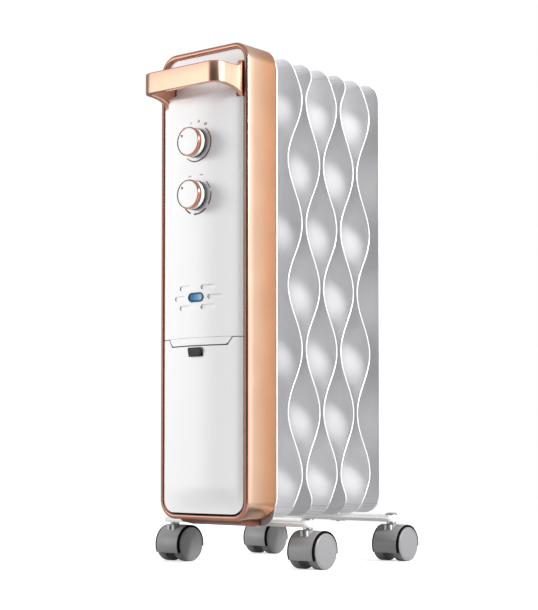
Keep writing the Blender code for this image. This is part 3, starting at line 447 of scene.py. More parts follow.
def quarter(radius, steps=6):
    """Points (across, along) of a round edge, from (0, radius) to (radius, 0)."""
    turns = [math.radians(90 * i / steps) for i in range(steps + 1)]
    return [(radius * (1 - math.cos(t)), radius * (1 - math.sin(t))) for t in turns]


def rounded(half, low, high, radius, steps=14):
    corners = ((half - radius, high - radius, 0), (radius - half, high - radius, 90),
               (radius - half, low + radius, 180), (half - radius, low + radius, 270))
    return [(x + radius * math.cos(math.radians(start + 90 * i / steps)),
             z + radius * math.sin(math.radians(start + 90 * i / steps)))
            for x, z, start in corners for i in range(steps + 1)]


shell_half, shell_foot, shell_top = shell_high.x, shell_low.z, shell_high.z
profile = [(SHELL_WALL, SHELL_DEEP), (0.0006, SHELL_DEEP), (0, SHELL_DEEP - 0.0006)]
profile += [(0, SHELL_DEEP * share) for share in (0.75, 0.5, 0.25)]
profile += [(across, along) for across, along in quarter(BEAD_OUT)]
profile += [(SHELL_LIP - across, along) for across, along in reversed(quarter(BEAD_IN))]
profile += [(SHELL_LIP, 0.0050), (SHELL_WALL, 0.0072)]
loops = []
for inset, y in profile:
    loops.append([(x, RIM + y, z) for x, z in rounded(shell_half - inset, shell_foot + inset,
                                                     shell_top - inset, SHELL_CORNER - inset)])
hang("shell_lacquered", loft(loops, ring=True), [shell_copper], "heater", ["copper_shell"], 40)

# Front panel. A bowed moulding in gloss white plastic that snaps in behind the bead, with a finger niche
# behind the handle, holes for the knobs and the lamp, and six short recesses round the lamp.
panel_low, panel_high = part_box("control_panel")
PANEL_INSET = SHELL_LIP + 0.0004
PANEL_HALF = shell_half - PANEL_INSET
PANEL_TOP = shell_top - PANEL_INSET
PANEL_WALL = 0.0027
PLATE_COLUMNS = 60
PANEL_CORNER = SHELL_CORNER - PANEL_INSET
CROWN = 0.0145
CROWN_FOOT = 0.3
CROWN_RISE = 0.036
NICHE_EDGE = panel_high.z - 0.0598
KNOB_HOLE = 0.0050
CUT_REACH, CUT_BACK = 0.03, 0.02      # how far a cutting shape stands before and behind the shell's rim
SLOT_WIDE, SLOT_TALL, SLOT_DEEP = 0.0215, 0.0060, 0.0015
ARM_NOTCH = 0.0562                    # the notches for the handle's arms start here
ROOM = 0.0003
door_low, door_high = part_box("cord_door")
DOOR_FOOT = shell_foot + PANEL_INSET + 0.0010
gloss_white = finish_of("gloss_white", (0.87, 0.87, 0.88), 0.32, coat=0.12, peel=(500.0, 0.05),
                        tint=0.015)[0]


def smooth(value):
    value = min(max(value, 0.0), 1.0)
    return value * value * (3 - 2 * value)


def crown_at(x, z):
    """y of the bowed front of the panel and the door, fuller in the middle and flatter at the foot."""
    share = CROWN_FOOT + (1 - CROWN_FOOT) * smooth((z - door_low.z) / CROWN_RISE)
    return RIM + 0.0010 - CROWN * share * (1 - (x / PANEL_HALF) ** 2)


def panel_front(x, z):
    edge = NICHE_EDGE + 0.007 * (x / PANEL_HALF) ** 2
    depth = smooth((z - edge) / 0.010)
    back = RIM + 0.012 - 0.0072 * smooth((z - NICHE_EDGE - 0.026) / (PANEL_TOP - NICHE_EDGE - 0.028))
    return crown_at(x, z) * (1 - depth) + back * depth


def plate(heights, half_width, surface):
    """A curved plate with rows across X, as thick as the panel's wall."""
    bm = bmesh.new()
    shares = [2 * i / PLATE_COLUMNS - 1 for i in range(PLATE_COLUMNS + 1)]
    grids = []
    for offset in (0, PANEL_WALL):
        rows = []
        for z in heights:
            half = half_width(z)
            rows.append([bm.verts.new((s * half, surface(s * half, z) + offset, z)) for s in shares])
        grids.append(rows)
    for rows in grids:
        join_grid(bm, rows)
    join_rings(bm, *[rim_of(rows) for rows in grids])
    return bm


def spread(start, end, count):
    return [start + (end - start) * i / count for i in range(count + 1)]


def corner_rows(edge, radius, into, steps=12):
    return [edge + into * radius * (1 - math.cos(math.radians(90 * i / steps))) for i in range(steps + 1)]


def corner_half(half, low, high, radius):
    def half_width(z):
        over = 0.0
        if high is not None:
            over = max(over, z - (high - radius))
        if low is not None:
            over = max(over, low + radius - z)
        return half - radius + math.sqrt(max(radius ** 2 - min(over, radius) ** 2, 0))
    return half_width


def carve(bm, name, materials, cuts, angle=35):
    """Cuts guide shapes out of a shape and returns the plain mesh."""
    bmesh.ops.recalc_face_normals(bm, faces=bm.faces)
    body = bpy.data.objects.new(name, finish_mesh(bm, name, materials, angle))
    scene.collection.objects.link(body)
    guides = []
    for guide, operation in cuts:
        bmesh.ops.recalc_face_normals(guide, faces=guide.faces)
        mesh = bpy.data.meshes.new(f"{name}_guide")
        guide.to_mesh(mesh)
        guide.free()
        thing = bpy.data.objects.new(f"{name}_guide", mesh)
        scene.collection.objects.link(thing)
        guides.append(thing)
        modifier = body.modifiers.new("cut", "BOOLEAN")
        modifier.object, modifier.operation, modifier.solver = thing, operation, "EXACT"
    bpy.context.view_layer.update()
    mesh = bpy.data.meshes.new_from_object(body.evaluated_get(bpy.context.evaluated_depsgraph_get()))
    for thing in [body] + guides:
        bpy.data.objects.remove(thing)
    mesh.name = name
    mesh.shade_smooth()
    mesh.set_sharp_from_angle(angle=math.radians(angle))
    return mesh


def turned(profile, sides=48, ring=False, axis="Y", place=(0, 0, 0)):
    """A turned shape from (radius, along) points, its axis along Y or X through place."""
    loops = []
    for radius, along in profile:
        loop = []
        for i in range(sides):
            turn = 2 * math.pi * (i + 0.5) / sides
            a, b = radius * math.cos(turn), radius * math.sin(turn)
            spot = {"Y": (a, along, b), "X": (along, a, b), "Z": (a, b, along)}[axis]
            loop.append(tuple(p + q for p, q in zip(spot, place)))
        loops.append(loop)
    return loft(loops, ring)


def slot_outline(wide, tall, x, z, steps=10):
    radius, reach = tall / 2, (wide - tall) / 2
    return [(x + side * (reach + radius * math.cos(math.radians(-90 + 180 * i / steps))),
             z + side * radius * math.sin(math.radians(-90 + 180 * i / steps)))
            for side in (1, -1) for i in range(steps + 1)]


def block(low, high):
    return loft([[(x, low[1], low[2]), (x, high[1], low[2]), (x, high[1], high[2]), (x, low[1], high[2])]
                 for x in (low[0], high[0])])


knob_centres = {}
for dial in ("power", "thermostat"):
    low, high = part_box(f"{dial}_knob")
    knob_centres[dial] = (low.z + high.z) / 2
lamp_low, lamp_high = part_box("lamp_lens")
lamp_z = (lamp_low.z + lamp_high.z) / 2
handle_low, handle_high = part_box("handle")

cuts = [(turned([(KNOB_HOLE, RIM - CUT_REACH), (KNOB_HOLE, RIM + 0.01)], 32, place=(0, 0, z)), "DIFFERENCE")
        for z in knob_centres.values()]
outline = slot_outline(lamp_high.x * 2 + 0.0005, lamp_high.z - lamp_low.z + 0.0005, 0, lamp_z)
cuts.append((loft([[(x, RIM + y, z) for x, z in outline] for y in (-CUT_REACH, 0.01)]), "DIFFERENCE"))
LIGHT_SLOTS = [(-0.0186, 0.0123), (0.0186, 0.0123), (-0.0287, 0), (0.0287, 0), (-0.0186, -0.0123),
               (0.0186, -0.0123)]
for x, up in LIGHT_SLOTS:
    outline = slot_outline(SLOT_WIDE, SLOT_TALL, x, lamp_z + up, 8)
    floor_loop = [(px, crown_at(px, pz) + SLOT_DEEP, pz) for px, pz in outline]
    front_loop = [(px, crown_at(px, pz) - 0.004, pz) for px, pz in outline]
    cuts.append((loft([front_loop, floor_loop]), "DIFFERENCE"))
for side in (-1, 1):
    inner, outer = sorted((side * ARM_NOTCH, side * 0.08))
    cuts.append((block((inner, RIM - CUT_REACH, handle_low.z - ROOM),
                       (outer, RIM + CUT_REACH, handle_high.z + ROOM)), "DIFFERENCE"))
rows = spread(panel_low.z, NICHE_EDGE - 0.002, 120)
rows += spread(NICHE_EDGE - 0.002, NICHE_EDGE + 0.019, 20)[1:]
rows += spread(NICHE_EDGE + 0.019, PANEL_TOP - PANEL_CORNER, 14)[1:]
rows += corner_rows(PANEL_TOP, PANEL_CORNER, -1)[::-1][1:]
shape = corner_half(PANEL_HALF, None, PANEL_TOP, PANEL_CORNER)
panel_mesh = carve(plate(rows, shape, panel_front), "panel_moulded", [gloss_white], cuts)
mount("panel_moulded", panel_mesh, "heater", ["control_panel"])

# Dial print. Brown pad-printed marks round both knobs: strokes for off and three powers, a full arc for
# the power knob and a broken one for the thermostat. Each mark is a thin film of ink on the panel.
INK = 0.00005             # half the thickness of the ink
DIAL_RADIUS, DASH_RADIUS = 0.0230, 0.0232
ink_brown = finish_of("ink_brown", (0.10, 0.05, 0.04), 0.5, peel=(2000.0, 0.1))[0]


def film(bm, left, right):
    """A strip of ink between two lines of (x, z) points."""
    rows = []
    for x, z in [pair for both in zip(left, right) for pair in both]:
        y = crown_at(x, z)
        rows.append((bm.verts.new((x, y - INK, z)), bm.verts.new((x, y + INK, z))))
    count = len(rows) // 2
    for i in range(count - 1):
        a, b, c, d = rows[2 * i], rows[2 * i + 1], rows[2 * i + 3], rows[2 * i + 2]
        bm.faces.new((a[0], b[0], c[0], d[0]))
        bm.faces.new((a[1], d[1], c[1], b[1]))
        bm.faces.new((a[0], d[0], d[1], a[1]))
        bm.faces.new((b[0], b[1], c[1], c[0]))
    a, b = rows[0], rows[1]
    bm.faces.new((a[0], a[1], b[1], b[0]))
    a, b = rows[-2], rows[-1]
    bm.faces.new((a[0], b[0], b[1], a[1]))


def ink_arc(bm, centre, radius, start, end, thin, thick):
    count = max(int(abs(end - start) / 4), 4)
    left, right = [], []
    for i in range(count + 1):
        share = i / count
        turn = math.radians(start + (end - start) * share)
        half = (thin + (thick - thin) * share) / 2
        for line, r in ((left, radius - half), (right, radius + half)):
            line.append((r * math.cos(turn), centre + r * math.sin(turn)))
    film(bm, left, right)


def ink_stroke(bm, centre, turn, radius, side, tall, wide):
    """A short upright stroke beside a point on the dial's circle."""
    x = radius * math.cos(math.radians(turn)) + side
    z = centre + radius * math.sin(math.radians(turn))
    film(bm, [(x - wide / 2, z - tall / 2), (x - wide / 2, z + tall / 2)],
         [(x + wide / 2, z - tall / 2), (x + wide / 2, z + tall / 2)])


ink = bmesh.new()
power_z, thermostat_z = knob_centres["power"], knob_centres["thermostat"]
ink_arc(ink, power_z, DIAL_RADIUS, 48, -60, 0.0013, 0.0021)
ink_arc(ink, power_z, DIAL_RADIUS, -60, -132, 0.0021, 0.0011)
for turn, strokes in ((136, 0), (108, 1), (80, 2), (56, 3)):
    for i in range(strokes):
        ink_stroke(ink, power_z, turn, 0.0272, (i - (strokes - 1) / 2) * 0.0017, 0.0034, 0.0009)
    if not strokes:
        x, z = 0.0300 * math.cos(math.radians(turn)), power_z + 0.0300 * math.sin(math.radians(turn))
        ring = [math.radians(30 * i) for i in range(13)]
        film(ink, [(x + 0.0008 * math.cos(t), z + 0.0010 * math.sin(t)) for t in ring],
             [(x + 0.0016 * math.cos(t), z + 0.0018 * math.sin(t)) for t in ring])
for start, end, thin, thick in ((45, 20, 0.0010, 0.0013), (8, -32, 0.0014, 0.0017),
                                (-48, -98, 0.0018, 0.0021), (-112, -150, 0.0020, 0.0023)):
    ink_arc(ink, thermostat_z, DASH_RADIUS, start, end, thin, thick)
for turn in (112, 70):
    for i in range(3):
        ink_stroke(ink, thermostat_z, turn, 0.0268, (i - 1) * 0.0019, 0.0018, 0.0010)
hang("dial_print", ink, [ink_brown], "heater", [])

# Lip over the cord door. A trapezoid tongue moulded in the same gloss white, which hangs from the
# panel's lower edge and hides the top of the catch.
lip_low, lip_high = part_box("latch_housing")
LIP_TOP = lip_high.x
LIP_FOOT = LIP_TOP - 0.0065
LIP_ROUND = 0.0040


def lip_half(z):
    share = (lip_high.z - z) / (lip_high.z - lip_low.z)
    over = max(LIP_ROUND - (z - lip_low.z), 0)
    return LIP_TOP + (LIP_FOOT - LIP_TOP) * share - (LIP_ROUND - math.sqrt(LIP_ROUND ** 2 - over ** 2)) * 0.6


rows = corner_rows(lip_low.z, LIP_ROUND, 1, 8) + spread(lip_low.z + LIP_ROUND, lip_high.z, 5)[1:]
hang("lip_moulded", plate(rows, lip_half, crown_at), [gloss_white], "heater", ["latch_housing"])

# Cord door. The lower half of the front, moulded like the panel. Two knuckles near its foot turn on a
# steel rod, and a slot near its top takes the catch.
rod_low, rod_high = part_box("door_hinge_rod")
pin_y, pin_z = (rod_low.y + rod_high.y) / 2, (rod_low.z + rod_high.z) / 2
latch_low, latch_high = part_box("door_latch")
latch_middle = (latch_low.z + latch_high.z) / 2
LIP_ROOM = 0.0014
KNUCKLE_X, KNUCKLE_HALF, KNUCKLE_BORE = 0.050, 0.003, 0.0018
notch = [(side * (LIP_FOOT + (LIP_TOP - LIP_FOOT) * share + LIP_ROOM),
          lip_low.z - LIP_ROOM + share * (lip_high.z - lip_low.z))
         for side, share in ((1, 0.0), (1, 1.6), (-1, 1.6), (-1, 0.0))]
cuts = [(loft([[(x, RIM + y, z) for x, z in notch] for y in (-CUT_REACH, CUT_BACK)]), "DIFFERENCE"),
        (block((latch_low.x - ROOM, RIM - CUT_REACH, latch_middle - 0.0056),
               (latch_high.x + ROOM, RIM + CUT_BACK, latch_middle + 0.0026)), "DIFFERENCE")]
for x in (-KNUCKLE_X, KNUCKLE_X):
    front = crown_at(x, pin_z) + PANEL_WALL / 2
    cuts.append((block((x - KNUCKLE_HALF, front, pin_z - KNUCKLE_HALF),
                       (x + KNUCKLE_HALF, pin_y + KNUCKLE_HALF, pin_z + KNUCKLE_HALF)), "UNION"))
cuts.append((turned([(KNUCKLE_BORE, -0.07), (KNUCKLE_BORE, 0.07)], 20, axis="X", place=(0, pin_y, pin_z)),
             "DIFFERENCE"))
rows = corner_rows(DOOR_FOOT, PANEL_CORNER, 1) + spread(DOOR_FOOT + PANEL_CORNER, door_high.z, 60)[1:]
shape = corner_half(PANEL_HALF, DOOR_FOOT, None, PANEL_CORNER)
door_mesh = carve(plate(rows, shape, crown_at), "door_moulded", [gloss_white], cuts)
mount("door_moulded", door_mesh, "cord_door", ["cord_door"])

# Door catch. A black sliding tab with eased edges; its neck runs through the door to a
# plate behind it.
black_plastic = finish_of("black_plastic", (0.014, 0.014, 0.015), 0.46, peel=(1400.0, 0.35))[0]


def eased(outline, radius, steps=5):
    """Rounds the corners of a closed (a, b) outline."""
    points = []
    count = len(outline)
    for i in range(count):
        here = Vector(outline[i])
        before, after = Vector(outline[i - 1]), Vector(outline[(i + 1) % count])
        a = here + (before - here).normalized() * radius
        b = here + (after - here).normalized() * radius
        for k in range(steps + 1):
            t = k / steps
            points.append(tuple(a.lerp(here, t).lerp(here.lerp(b, t), t)))
    return points


def add_shape(bm, extra):
    """Adds a separate shape to a mesh under work."""
    spare = bpy.data.meshes.new("spare")
    extra.to_mesh(spare)
    extra.free()
    bm.from_mesh(spare)
    bpy.data.meshes.remove(spare)


TAB_TAPER = 0.0022
NECK_HALF = 0.0023
tab_front, tab_back = latch_low.y, crown_at(0, latch_high.z) - ROOM
outline = eased([(latch_low.x, latch_high.z), (latch_low.x + TAB_TAPER, latch_low.z),
                 (latch_high.x - TAB_TAPER, latch_low.z), (latch_high.x, latch_high.z)], 0.0024)
levels = [(0.0, tab_back), (0.0, tab_front + 0.0009), (0.00045, tab_front + 0.0003), (0.0012, tab_front)]
catch = loft([[(x * (1 - inset / 0.012), y, latch_middle + (z - latch_middle) * (1 - inset / 0.0056))
               for x, z in outline] for inset, y in levels])
add_shape(catch, block((latch_low.x, tab_back - 0.0005, latch_middle - NECK_HALF),
                       (latch_high.x, latch_high.y - 0.0005, latch_middle + NECK_HALF)))
add_shape(catch, block((latch_low.x, latch_high.y - 0.002, latch_low.z + 0.001),
                       (latch_high.x, latch_high.y, latch_high.z)))
hang("catch_moulded", catch, [black_plastic], "door_latch", ["door_latch"])

# Handle. A hollow rose gold bar bent round the front; each arm flares downwards and a little upwards
# where it runs into the panel's side and is screwed to the shell from behind.
HANDLE_THICK = 0.0078
HANDLE_TALL = 0.0262
HANDLE_ROUND = 0.0016
HANDLE_CORNER, HANDLE_FOOT, FOOT_DEEP, HANDLE_BEND = 0.0622, 0.0608, 0.010, 0.012
FOOT_DROP, FOOT_RISE = 0.0110, 0.0078
handle_z = handle_low.z + FOOT_DROP + HANDLE_TALL / 2
bar_y = handle_low.y + HANDLE_THICK / 2
corner = Vector((HANDLE_CORNER - HANDLE_THICK / 2, bar_y))
foot = Vector((HANDLE_FOOT, RIM + FOOT_DEEP))
back = (foot - corner).normalized()
start, end = corner - Vector((HANDLE_BEND, 0)), corner + back * HANDLE_BEND
stations = [Vector((0.006 * i, bar_y)) for i in range(8)] + [start]
stations += [start.lerp(corner, t).lerp(corner.lerp(end, t), t) for t in spread(0, 1, 16)[1:]]
stations += [end.lerp(foot, t) for t in spread(0, 1, 26)[1:]]
section = []
for side, level in ((-1, -1), (1, -1), (1, 1), (-1, 1)):
    bend = quarter(HANDLE_ROUND, 4)
    points = [(side * (HANDLE_THICK / 2 - across), level, -level * along) for across, along in bend]
    section += points if side * level > 0 else points[::-1]
path = [Vector((-p.x, p.y)) for p in reversed(stations[1:])] + stations
loops = []
for i, point in enumerate(path):
    ahead = (path[min(i + 1, len(path) - 1)] - path[max(i - 1, 0)]).normalized()
    normal = Vector((-ahead.y, ahead.x))
    run = min(max((point.y - end.y) / (RIM - end.y), 0), 1)
    rise = max(run - 0.6, 0) / 0.4
    low = handle_z - HANDLE_TALL / 2 - FOOT_DROP * (1 - math.sqrt(1 - run * run))
    high = handle_z + HANDLE_TALL / 2 + FOOT_RISE * (1 - math.sqrt(1 - rise * rise))
    loops.append([(*(point + normal * across), (low if level < 0 else high) + inset)
                  for across, level, inset in section])
hang("handle_lacquered", loft(loops), [handle_copper], "heater", ["handle"], 40)

# Knobs. Each is a white moulded barrel with a dark foot ring, a rose gold band pressed round its front
# and a slightly sunk white face with a small printed pointer. It pushes on to its shaft.
BAND_BACK = 0.0064
POINTER_TURN = {"power": 142, "thermostat": 138}
knob_white = finish_of("knob_white", (0.88, 0.88, 0.88), 0.22, coat=0.4, peel=(900.0, 0.1), tint=0.01)[0]
foot_black = finish_of("foot_black", (0.02, 0.02, 0.022), 0.4, peel=(1400.0, 0.3))[0]
for dial, z in knob_centres.items():
    low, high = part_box(f"{dial}_knob_ring")
    radius, face = (high.z - low.z) / 2, low.y
    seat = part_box(f"{dial}_knob")[1].y
    barrel = [(0.0033, face + 0.008), (0.0033, seat - 0.0004), (radius - 0.0006, seat - 0.0004),
              (radius - 0.0001, seat - 0.0008), (radius - 0.0001, seat - 0.0024),
              (radius - 0.0006, seat - 0.0029), (radius - 0.0007, seat - 0.0034),
              (radius - 0.0005, face + BAND_BACK + 0.0002), (radius - 0.0016, face + BAND_BACK),
              (radius - 0.0016, face + 0.0010), (radius - 0.0021, face + 0.0006),
              (radius - 0.0032, face + 0.0005), (0.004, face + 0.00025), (0.0005, face + 0.0002)]
    mesh = finish_mesh(turned(barrel, 72, place=(0, 0, z)), f"{dial}_knob_barrel",
                       [knob_white, foot_black], 30)
    for polygon in mesh.polygons:
        if polygon.center.y > seat - 0.0032:
            polygon.material_index = 1
    mount(f"{dial}_knob_barrel", mesh, f"{dial}_knob", [f"{dial}_knob"])
    band = [(radius - 0.0016, face + 0.0012), (radius - 0.0015, face + 0.0002), (radius - 0.0011, face),
            (radius - 0.0006, face + 0.0002), (radius - 0.0001, face + 0.0010), (radius, face + 0.0018),
            (radius, face + BAND_BACK - 0.0004), (radius - 0.0003, face + BAND_BACK),
            (radius - 0.0016, face + BAND_BACK)]
    hang(f"{dial}_knob_band", turned(band, 72, ring=True, place=(0, 0, z)), [trim_copper_shaded],
         f"{dial}_knob", [f"{dial}_knob_ring"], 30)
    turn = math.radians(POINTER_TURN[dial])
    tip = radius - 0.0030
    arrow = bmesh.new()
    corners = []
    for r, side in ((tip, 0), (tip - 0.0040, 0.0018), (tip - 0.0040, -0.0018)):
        corners.append((r * math.cos(turn) - side * math.sin(turn),
                        z + r * math.sin(turn) + side * math.cos(turn)))
    front = [arrow.verts.new((x, face + 0.00018, pz)) for x, pz in corners]
    rear = [arrow.verts.new((x, face + 0.0006, pz)) for x, pz in corners]
    arrow.faces.new(front)
    arrow.faces.new(rear[::-1])
    for i in range(3):
        j = (i + 1) % 3
        arrow.faces.new((front[i], rear[i], rear[j], front[j]))
    hang(f"{dial}_knob_pointer", arrow, [ink_brown], f"{dial}_knob", [])

# Pilot lamp. A domed lens of clear blue plastic, painted darker to the left as shade and lighter to the
# right as a highlight, in a thin dark bezel; both are clipped into the panel from behind.
lens_wide, lens_tall = lamp_high.x * 2, lamp_high.z - lamp_low.z
lens_front = lamp_low.y
lens_blue, lens_tree, lens_shader, lens_mixed = finish_of("lens_blue", (0.10, 0.36, 0.62), 0.12, coat=0.15,
                                                          peel=(300.0, 0.02))
# The lens colour runs from painted shade on the left to a painted highlight on the right.
lens_place = wire(lens_tree, "ShaderNodeTexCoord").outputs["Object"]
across = wire(lens_tree, "ShaderNodeSeparateXYZ", lens_place).outputs["X"]
share = wire(lens_tree, "ShaderNodeMapRange", across, -lamp_high.x, lamp_high.x).outputs[0]
lens_tree.links.new(ramp(lens_tree, share, [(0.0, (0.004, 0.05, 0.11)), (0.35, (0.02, 0.15, 0.32)),
                                            (0.70, (0.12, 0.34, 0.58)), (1.0, (0.50, 0.70, 0.86))]),
                    lens_mixed.inputs["A"])
lens_shader.inputs["Specular IOR Level"].default_value = 0.25


def lens_loops(levels):
    return [[(x, y, z) for x, z in slot_outline(lens_wide - 2 * inset, lens_tall - 2 * inset, 0, lamp_z, 14)]
            for inset, y in levels]


dome_loops = lens_loops([
    (0.0014, lamp_high.y), (0.0014, lens_front + 0.0012), (0.0015, lens_front + 0.0008),
    (0.0021, lens_front + 0.0004), (0.0030, lens_front + 0.0002), (0.0042, lens_front + 0.0001)])
hang("lamp_dome", loft(dome_loops), [lens_blue], "heater", ["lamp_lens"], 50)
bezel_dark = finish_of("bezel_dark", (0.035, 0.06, 0.09), 0.25, metallic=0.4, coat=0.5, peel=(1200.0, 0.1))[0]
bezel_loops = lens_loops([
    (0.0001, lens_front + 0.0026), (0.0001, lens_front + 0.0003), (0.0004, lens_front),
    (0.0010, lens_front), (0.0013, lens_front + 0.0004), (0.0013, lens_front + 0.0026)])
hang("lamp_bezel", loft(bezel_loops, ring=True), [bezel_dark], "heater", [], 30)

# Bulkhead, skirt and the pieces behind the panel. The bulkhead is the grey-painted steel back of the
# box; the skirt under it is the shell's rose gold lacquer, painted dark brown as shade. What lies behind the
# panel keeps its CAD shape.
plate_grey = finish_of("plate_grey", (0.42, 0.42, 0.43), 0.42, coat=0.1, peel=(800.0, 0.3))[0]
# The skirt's dark brown is painted shade: the shell's underside in shadow.
skirt_painted_shade = finish_of("skirt_painted_shade", (0.30, 0.12, 0.08), 0.35, metallic=0.8, peel=(1500.0, 0.1))[0]
zinc_steel = finish_of("zinc_steel", (0.60, 0.61, 0.62), 0.28, metallic=1.0, peel=(1600.0, 0.3), mottle=60.0,
                       tint=0.08)[0]
bay_grey = finish_of("bay_grey", (0.30, 0.30, 0.31), 0.5, peel=(1600.0, 0.6))[0]
cream_plastic = finish_of("cream_plastic", (0.74, 0.72, 0.66), 0.4, peel=(1000.0, 0.3))[0]


def dress(material, *names):
    """Gives CAD nodes whose shape stays as it is their finish."""
    for name in names:
        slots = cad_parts[name].data.materials
        slots.clear()
        slots.append(material)


dress(plate_grey, "rear_bulkhead")
dress(skirt_painted_shade, "base_skirt")
dress(bay_grey, "cord_bay")
dress(cream_plastic, "terminal_block")
dress(black_plastic, "cord_gland", "power_switch", "thermostat_body", "thermal_cutout", "tilt_switch")
dress(zinc_steel, "door_hinge_rod", "power_shaft", "thermostat_shaft", "heating_element", "oil_fill_plug")
dress(fin_enamel, "top_oil_header", "bottom_oil_header")

# Hub collars. Where a header passes a fin the sheet is drawn out into a round collar and welded to its
# neighbour; one short ring stands on each face that looks at another fin, enamelled with the rest.
GAPS = 6                  # the gaps between the seven fins


def collar_tree():
    """Stands a ring at each of a row of places along Y."""
    tree = bpy.data.node_groups.new("collar_row", "GeometryNodeTree")
    tree_input(tree, "Geometry", "Geometry")
    tree_input(tree, "Count", "Int", GAPS)
    for label, value in (("Pitch", 0.037), ("First", 0.0), ("Height", 0.6)):
        tree_input(tree, label, "Float", value)
    tree_input(tree, "Finish", "Material")
    tree.interface.new_socket("Geometry", in_out="OUTPUT", socket_type="NodeSocketGeometry")
    take, give = tree.nodes.new("NodeGroupInput").outputs, tree.nodes.new("NodeGroupOutput")
    line = tree.nodes.new("GeometryNodeMeshLine")
    tree.links.new(take["Count"], line.inputs["Count"])
    first = wire(tree, "ShaderNodeCombineXYZ", 0.0, take["First"], take["Height"]).outputs[0]
    step = wire(tree, "ShaderNodeCombineXYZ", 0.0, take["Pitch"], 0.0).outputs[0]
    tree.links.new(first, line.inputs["Start Location"])
    tree.links.new(step, line.inputs["Offset"])
    stand = tree.nodes.new("GeometryNodeInstanceOnPoints")
    tree.links.new(line.outputs[0], stand.inputs["Points"])
    tree.links.new(take["Geometry"], stand.inputs["Instance"])
    solid = wire(tree, "GeometryNodeRealizeInstances", stand.outputs[0])
    coated = wire(tree, "GeometryNodeSetMaterial", solid.outputs[0])
    tree.links.new(take["Finish"], coated.inputs["Material"])
    tree.links.new(coated.outputs[0], give.inputs[0])
    return tree


collar_row = collar_tree()
fin_places = [sum(box.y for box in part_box(f"fin_{n}")) / 2 for n in range(1, 8)]
pitch = (fin_places[-1] - fin_places[0]) / GAPS
for end in ("top", "bottom"):
    low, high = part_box(f"{end}_oil_header")
    radius, height = (high.z - low.z) / 2, (low.z + high.z) / 2
    for side, first in ((1, fin_places[0]), (-1, fin_places[1])):
        ring = [(0.0002, 0.0010), (0.0062, 0.0011), (0.0048, 0.0026), (0.0022, 0.0044), (0.0012, 0.0075),
                (0.0002, 0.0078)]
        bm = turned([(radius + out, side * along) for out, along in ring], 40, ring=True)
        bmesh.ops.recalc_face_normals(bm, faces=bm.faces)
        name = f"{end}_collars_{'front' if side < 0 else 'rear'}"
        mesh = grow(name, bm, collar_row, {"Count": GAPS, "Pitch": pitch, "First": first,
                                           "Height": height, "Finish": fin_enamel})
        mesh.shade_smooth()
        mount(name, mesh, "heater", [])

# Caster brackets. White enamelled channel bars with round ends and a raised middle tier, held to the
# bottom header by a hook bolt and a wing nut; the caster stems come up through their ends.
bracket_enamel = finish_of("bracket_enamel", (0.82, 0.82, 0.83), 0.26, coat=0.4, peel=(600.0, 0.2))[0]
for end in ("front", "rear"):
    low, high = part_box(f"{end}_bracket")
    half, wide = high.x, (high.y - low.y) / 2
    y_middle = (low.y + high.y) / 2

    def bar_outline(inset, z, steps=16):
        radius, reach = wide - inset, half - wide
        return [(side * (reach + radius * math.cos(math.radians(-90 + 180 * i / steps))),
                 y_middle + side * radius * math.sin(math.radians(-90 + 180 * i / steps)), z)
                for side in (1, -1) for i in range(steps + 1)]

    tiers = [(0.0020, high.z - 0.0050), (0.0020, low.z), (0.0004, low.z), (0, low.z + 0.0005),
             (0, high.z - 0.0042), (0.0003, high.z - 0.0036), (0.0012, high.z - 0.0032),
             (0.0034, high.z - 0.0030), (0.0044, high.z - 0.0010), (0.0050, high.z - 0.0003),
             (0.0058, high.z)]
    hang(f"{end}_bracket_bar", loft([bar_outline(inset, z) for inset, z in tiers]), [bracket_enamel],
         "heater", [f"{end}_bracket"], 40)
    dress(zinc_steel, f"{end}_hook_bolt", f"{end}_wing_nut")

# Casters. Twin-wheel furniture casters: a satin grey hood on a steel stem, black inside and on its rims and
# web as painted shade, and two grey wheels with plain closed faces that turn on one axle.
caster_grey = finish_of("caster_grey", (0.27, 0.27, 0.275), 0.32, coat=0.2, peel=(1200.0, 0.2), tint=0.02)[0]
wheel_grey = finish_of("wheel_grey", (0.215, 0.215, 0.22), 0.38, coat=0.1, peel=(1200.0, 0.25), tint=0.02)[0]
# Black standing in for shade inside the hood, on its rims and on the web between the wheels: painted shade.
shade_black, shade_black_shader = finish_of("shade_black", (0.006, 0.006, 0.006), 0.7, peel=(1200.0, 0.3))[::2]
shade_black_shader.inputs["Specular IOR Level"].default_value = 0.0


def sweep(radius, start, end, steps):
    return [(radius * math.cos(math.radians(a)), radius * math.sin(math.radians(a)))
            for a in spread(start, end, steps)]


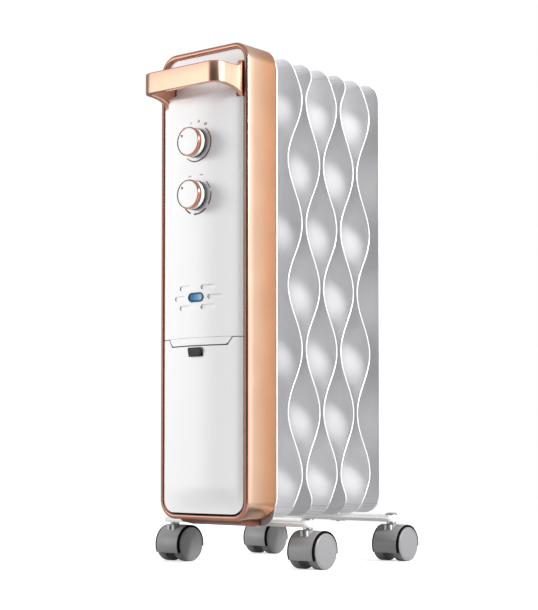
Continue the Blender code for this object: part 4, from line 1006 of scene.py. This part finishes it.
HOOD_ARC = (-8, 205)
SHADE_BANDS = (0, 1, 2, 3, 9, 10, 11, 12, 13)   # the hood's bands painted black as shade: its inside and its rims
WEB_HALF = 0.0064
for corner_name in ("front_left", "front_right", "rear_left", "rear_right"):
    body = f"{corner_name}_caster"
    hood_low, hood_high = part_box(f"{corner_name}_hood")
    wheel_low, wheel_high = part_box(f"{corner_name}_wheel_left")
    x_middle = (hood_low.x + hood_high.x) / 2
    axle_y, axle_z = (wheel_low.y + wheel_high.y) / 2, (wheel_low.z + wheel_high.z) / 2
    wheel_radius = (wheel_high.z - wheel_low.z) / 2
    half = (hood_high.x - hood_low.x) / 2
    outer = wheel_radius + 0.0030
    inner = wheel_radius + 0.0004
    bm = bmesh.new()
    rows = []
    skin = [(0.0, inner), (0.0, outer - 0.0008), (0.0004, outer - 0.0003), (0.0022, outer - 0.0002),
            (0.0023, outer - 0.0005), (0.0025, outer - 0.0002), (0.0032, outer)]
    across_x = [(-half + a, r) for a, r in skin] + [(half - a, r) for a, r in reversed(skin)]
    for angle in spread(*HOOD_ARC, 48):
        c, s = math.cos(math.radians(angle)), math.sin(math.radians(angle))
        rows.append([bm.verts.new((x_middle + x, axle_y + r * c, axle_z + r * s)) for x, r in across_x])
    for near, far in zip(rows, rows[1:]):
        faces = join_rings(bm, near, far)
        for i in SHADE_BANDS:
            faces[i].material_index = 1
    for row in (rows[0], rows[-1][::-1]):
        bm.faces.new(row)
    hang(f"{corner_name}_hood_shell", bm, [caster_grey, shade_black], body, [f"{corner_name}_hood"],
         40)
    # The web between the wheels is black as painted shade.
    web_outline = sweep(inner + 0.0008, *HOOD_ARC, 40) + sweep(0.0085, 213, 352, 10)
    web = loft([[(x_middle + x, axle_y + a, axle_z + b) for a, b in web_outline]
                for x in (-WEB_HALF, WEB_HALF)])
    hang(f"{corner_name}_web", web, [shade_black], body, [], 40)
    low_stem, high_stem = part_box(f"{corner_name}_stem")
    stem_x, stem_y = (low_stem.x + high_stem.x) / 2, (low_stem.y + high_stem.y) / 2
    boss = turned([(0.0064, axle_z + 0.010), (0.0064, hood_high.z - 0.0006), (0.0058, hood_high.z)], 32,
                  axis="Z", place=(stem_x, stem_y, 0))
    hang(f"{corner_name}_boss", boss, [caster_grey], body, [], 40)
    # Two small white pins on the hood's front stand in for the light streaks reflected there: a painted
    # highlight.
    highlight_pins = bmesh.new()
    lean = math.radians(50)
    for offset in (-0.0042, 0.0042):
        spot = (x_middle + offset, axle_y - outer * math.cos(lean), axle_z + outer * math.sin(lean) - 0.0044)
        add_shape(highlight_pins, turned([(0.0002, 0.0002), (0.0011, 0.0006), (0.0014, 0.0016), (0.0014, 0.0096),
                                (0.0010, 0.0104), (0.0002, 0.0106)], 16, axis="Z", place=spot))
    hang(f"{corner_name}_painted_highlights", highlight_pins, [bracket_enamel], body, [])
    dress(zinc_steel, f"{corner_name}_stem", f"{corner_name}_axle")
    for side, sign in (("left", -1), ("right", 1)):
        low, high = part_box(f"{corner_name}_wheel_{side}")
        near = min(abs(low.x - x_middle), abs(high.x - x_middle))
        far = max(abs(low.x - x_middle), abs(high.x - x_middle))
        tread = [(0.0028, near + 0.0001), (wheel_radius - 0.0012, near),
                 (wheel_radius - 0.0003, near + 0.0004), (wheel_radius, near + 0.0014),
                 (wheel_radius, far - 0.0020), (wheel_radius - 0.0005, far - 0.0009),
                 (wheel_radius - 0.0016, far - 0.0003), (wheel_radius - 0.0026, far - 0.00025),
                 (wheel_radius - 0.0030, far - 0.0006), (wheel_radius - 0.0034, far - 0.0002),
                 (wheel_radius - 0.0080, far - 0.00005), (0.0060, far), (0.0003, far)]
        bm = turned([(r, sign * along) for r, along in tread], 72, axis="X", place=(x_middle, axle_y, axle_z))
        hang(f"{corner_name}_tyre_{side}", bm, [wheel_grey], f"{corner_name}_wheel_{side}",
             [f"{corner_name}_wheel_{side}"], 30)
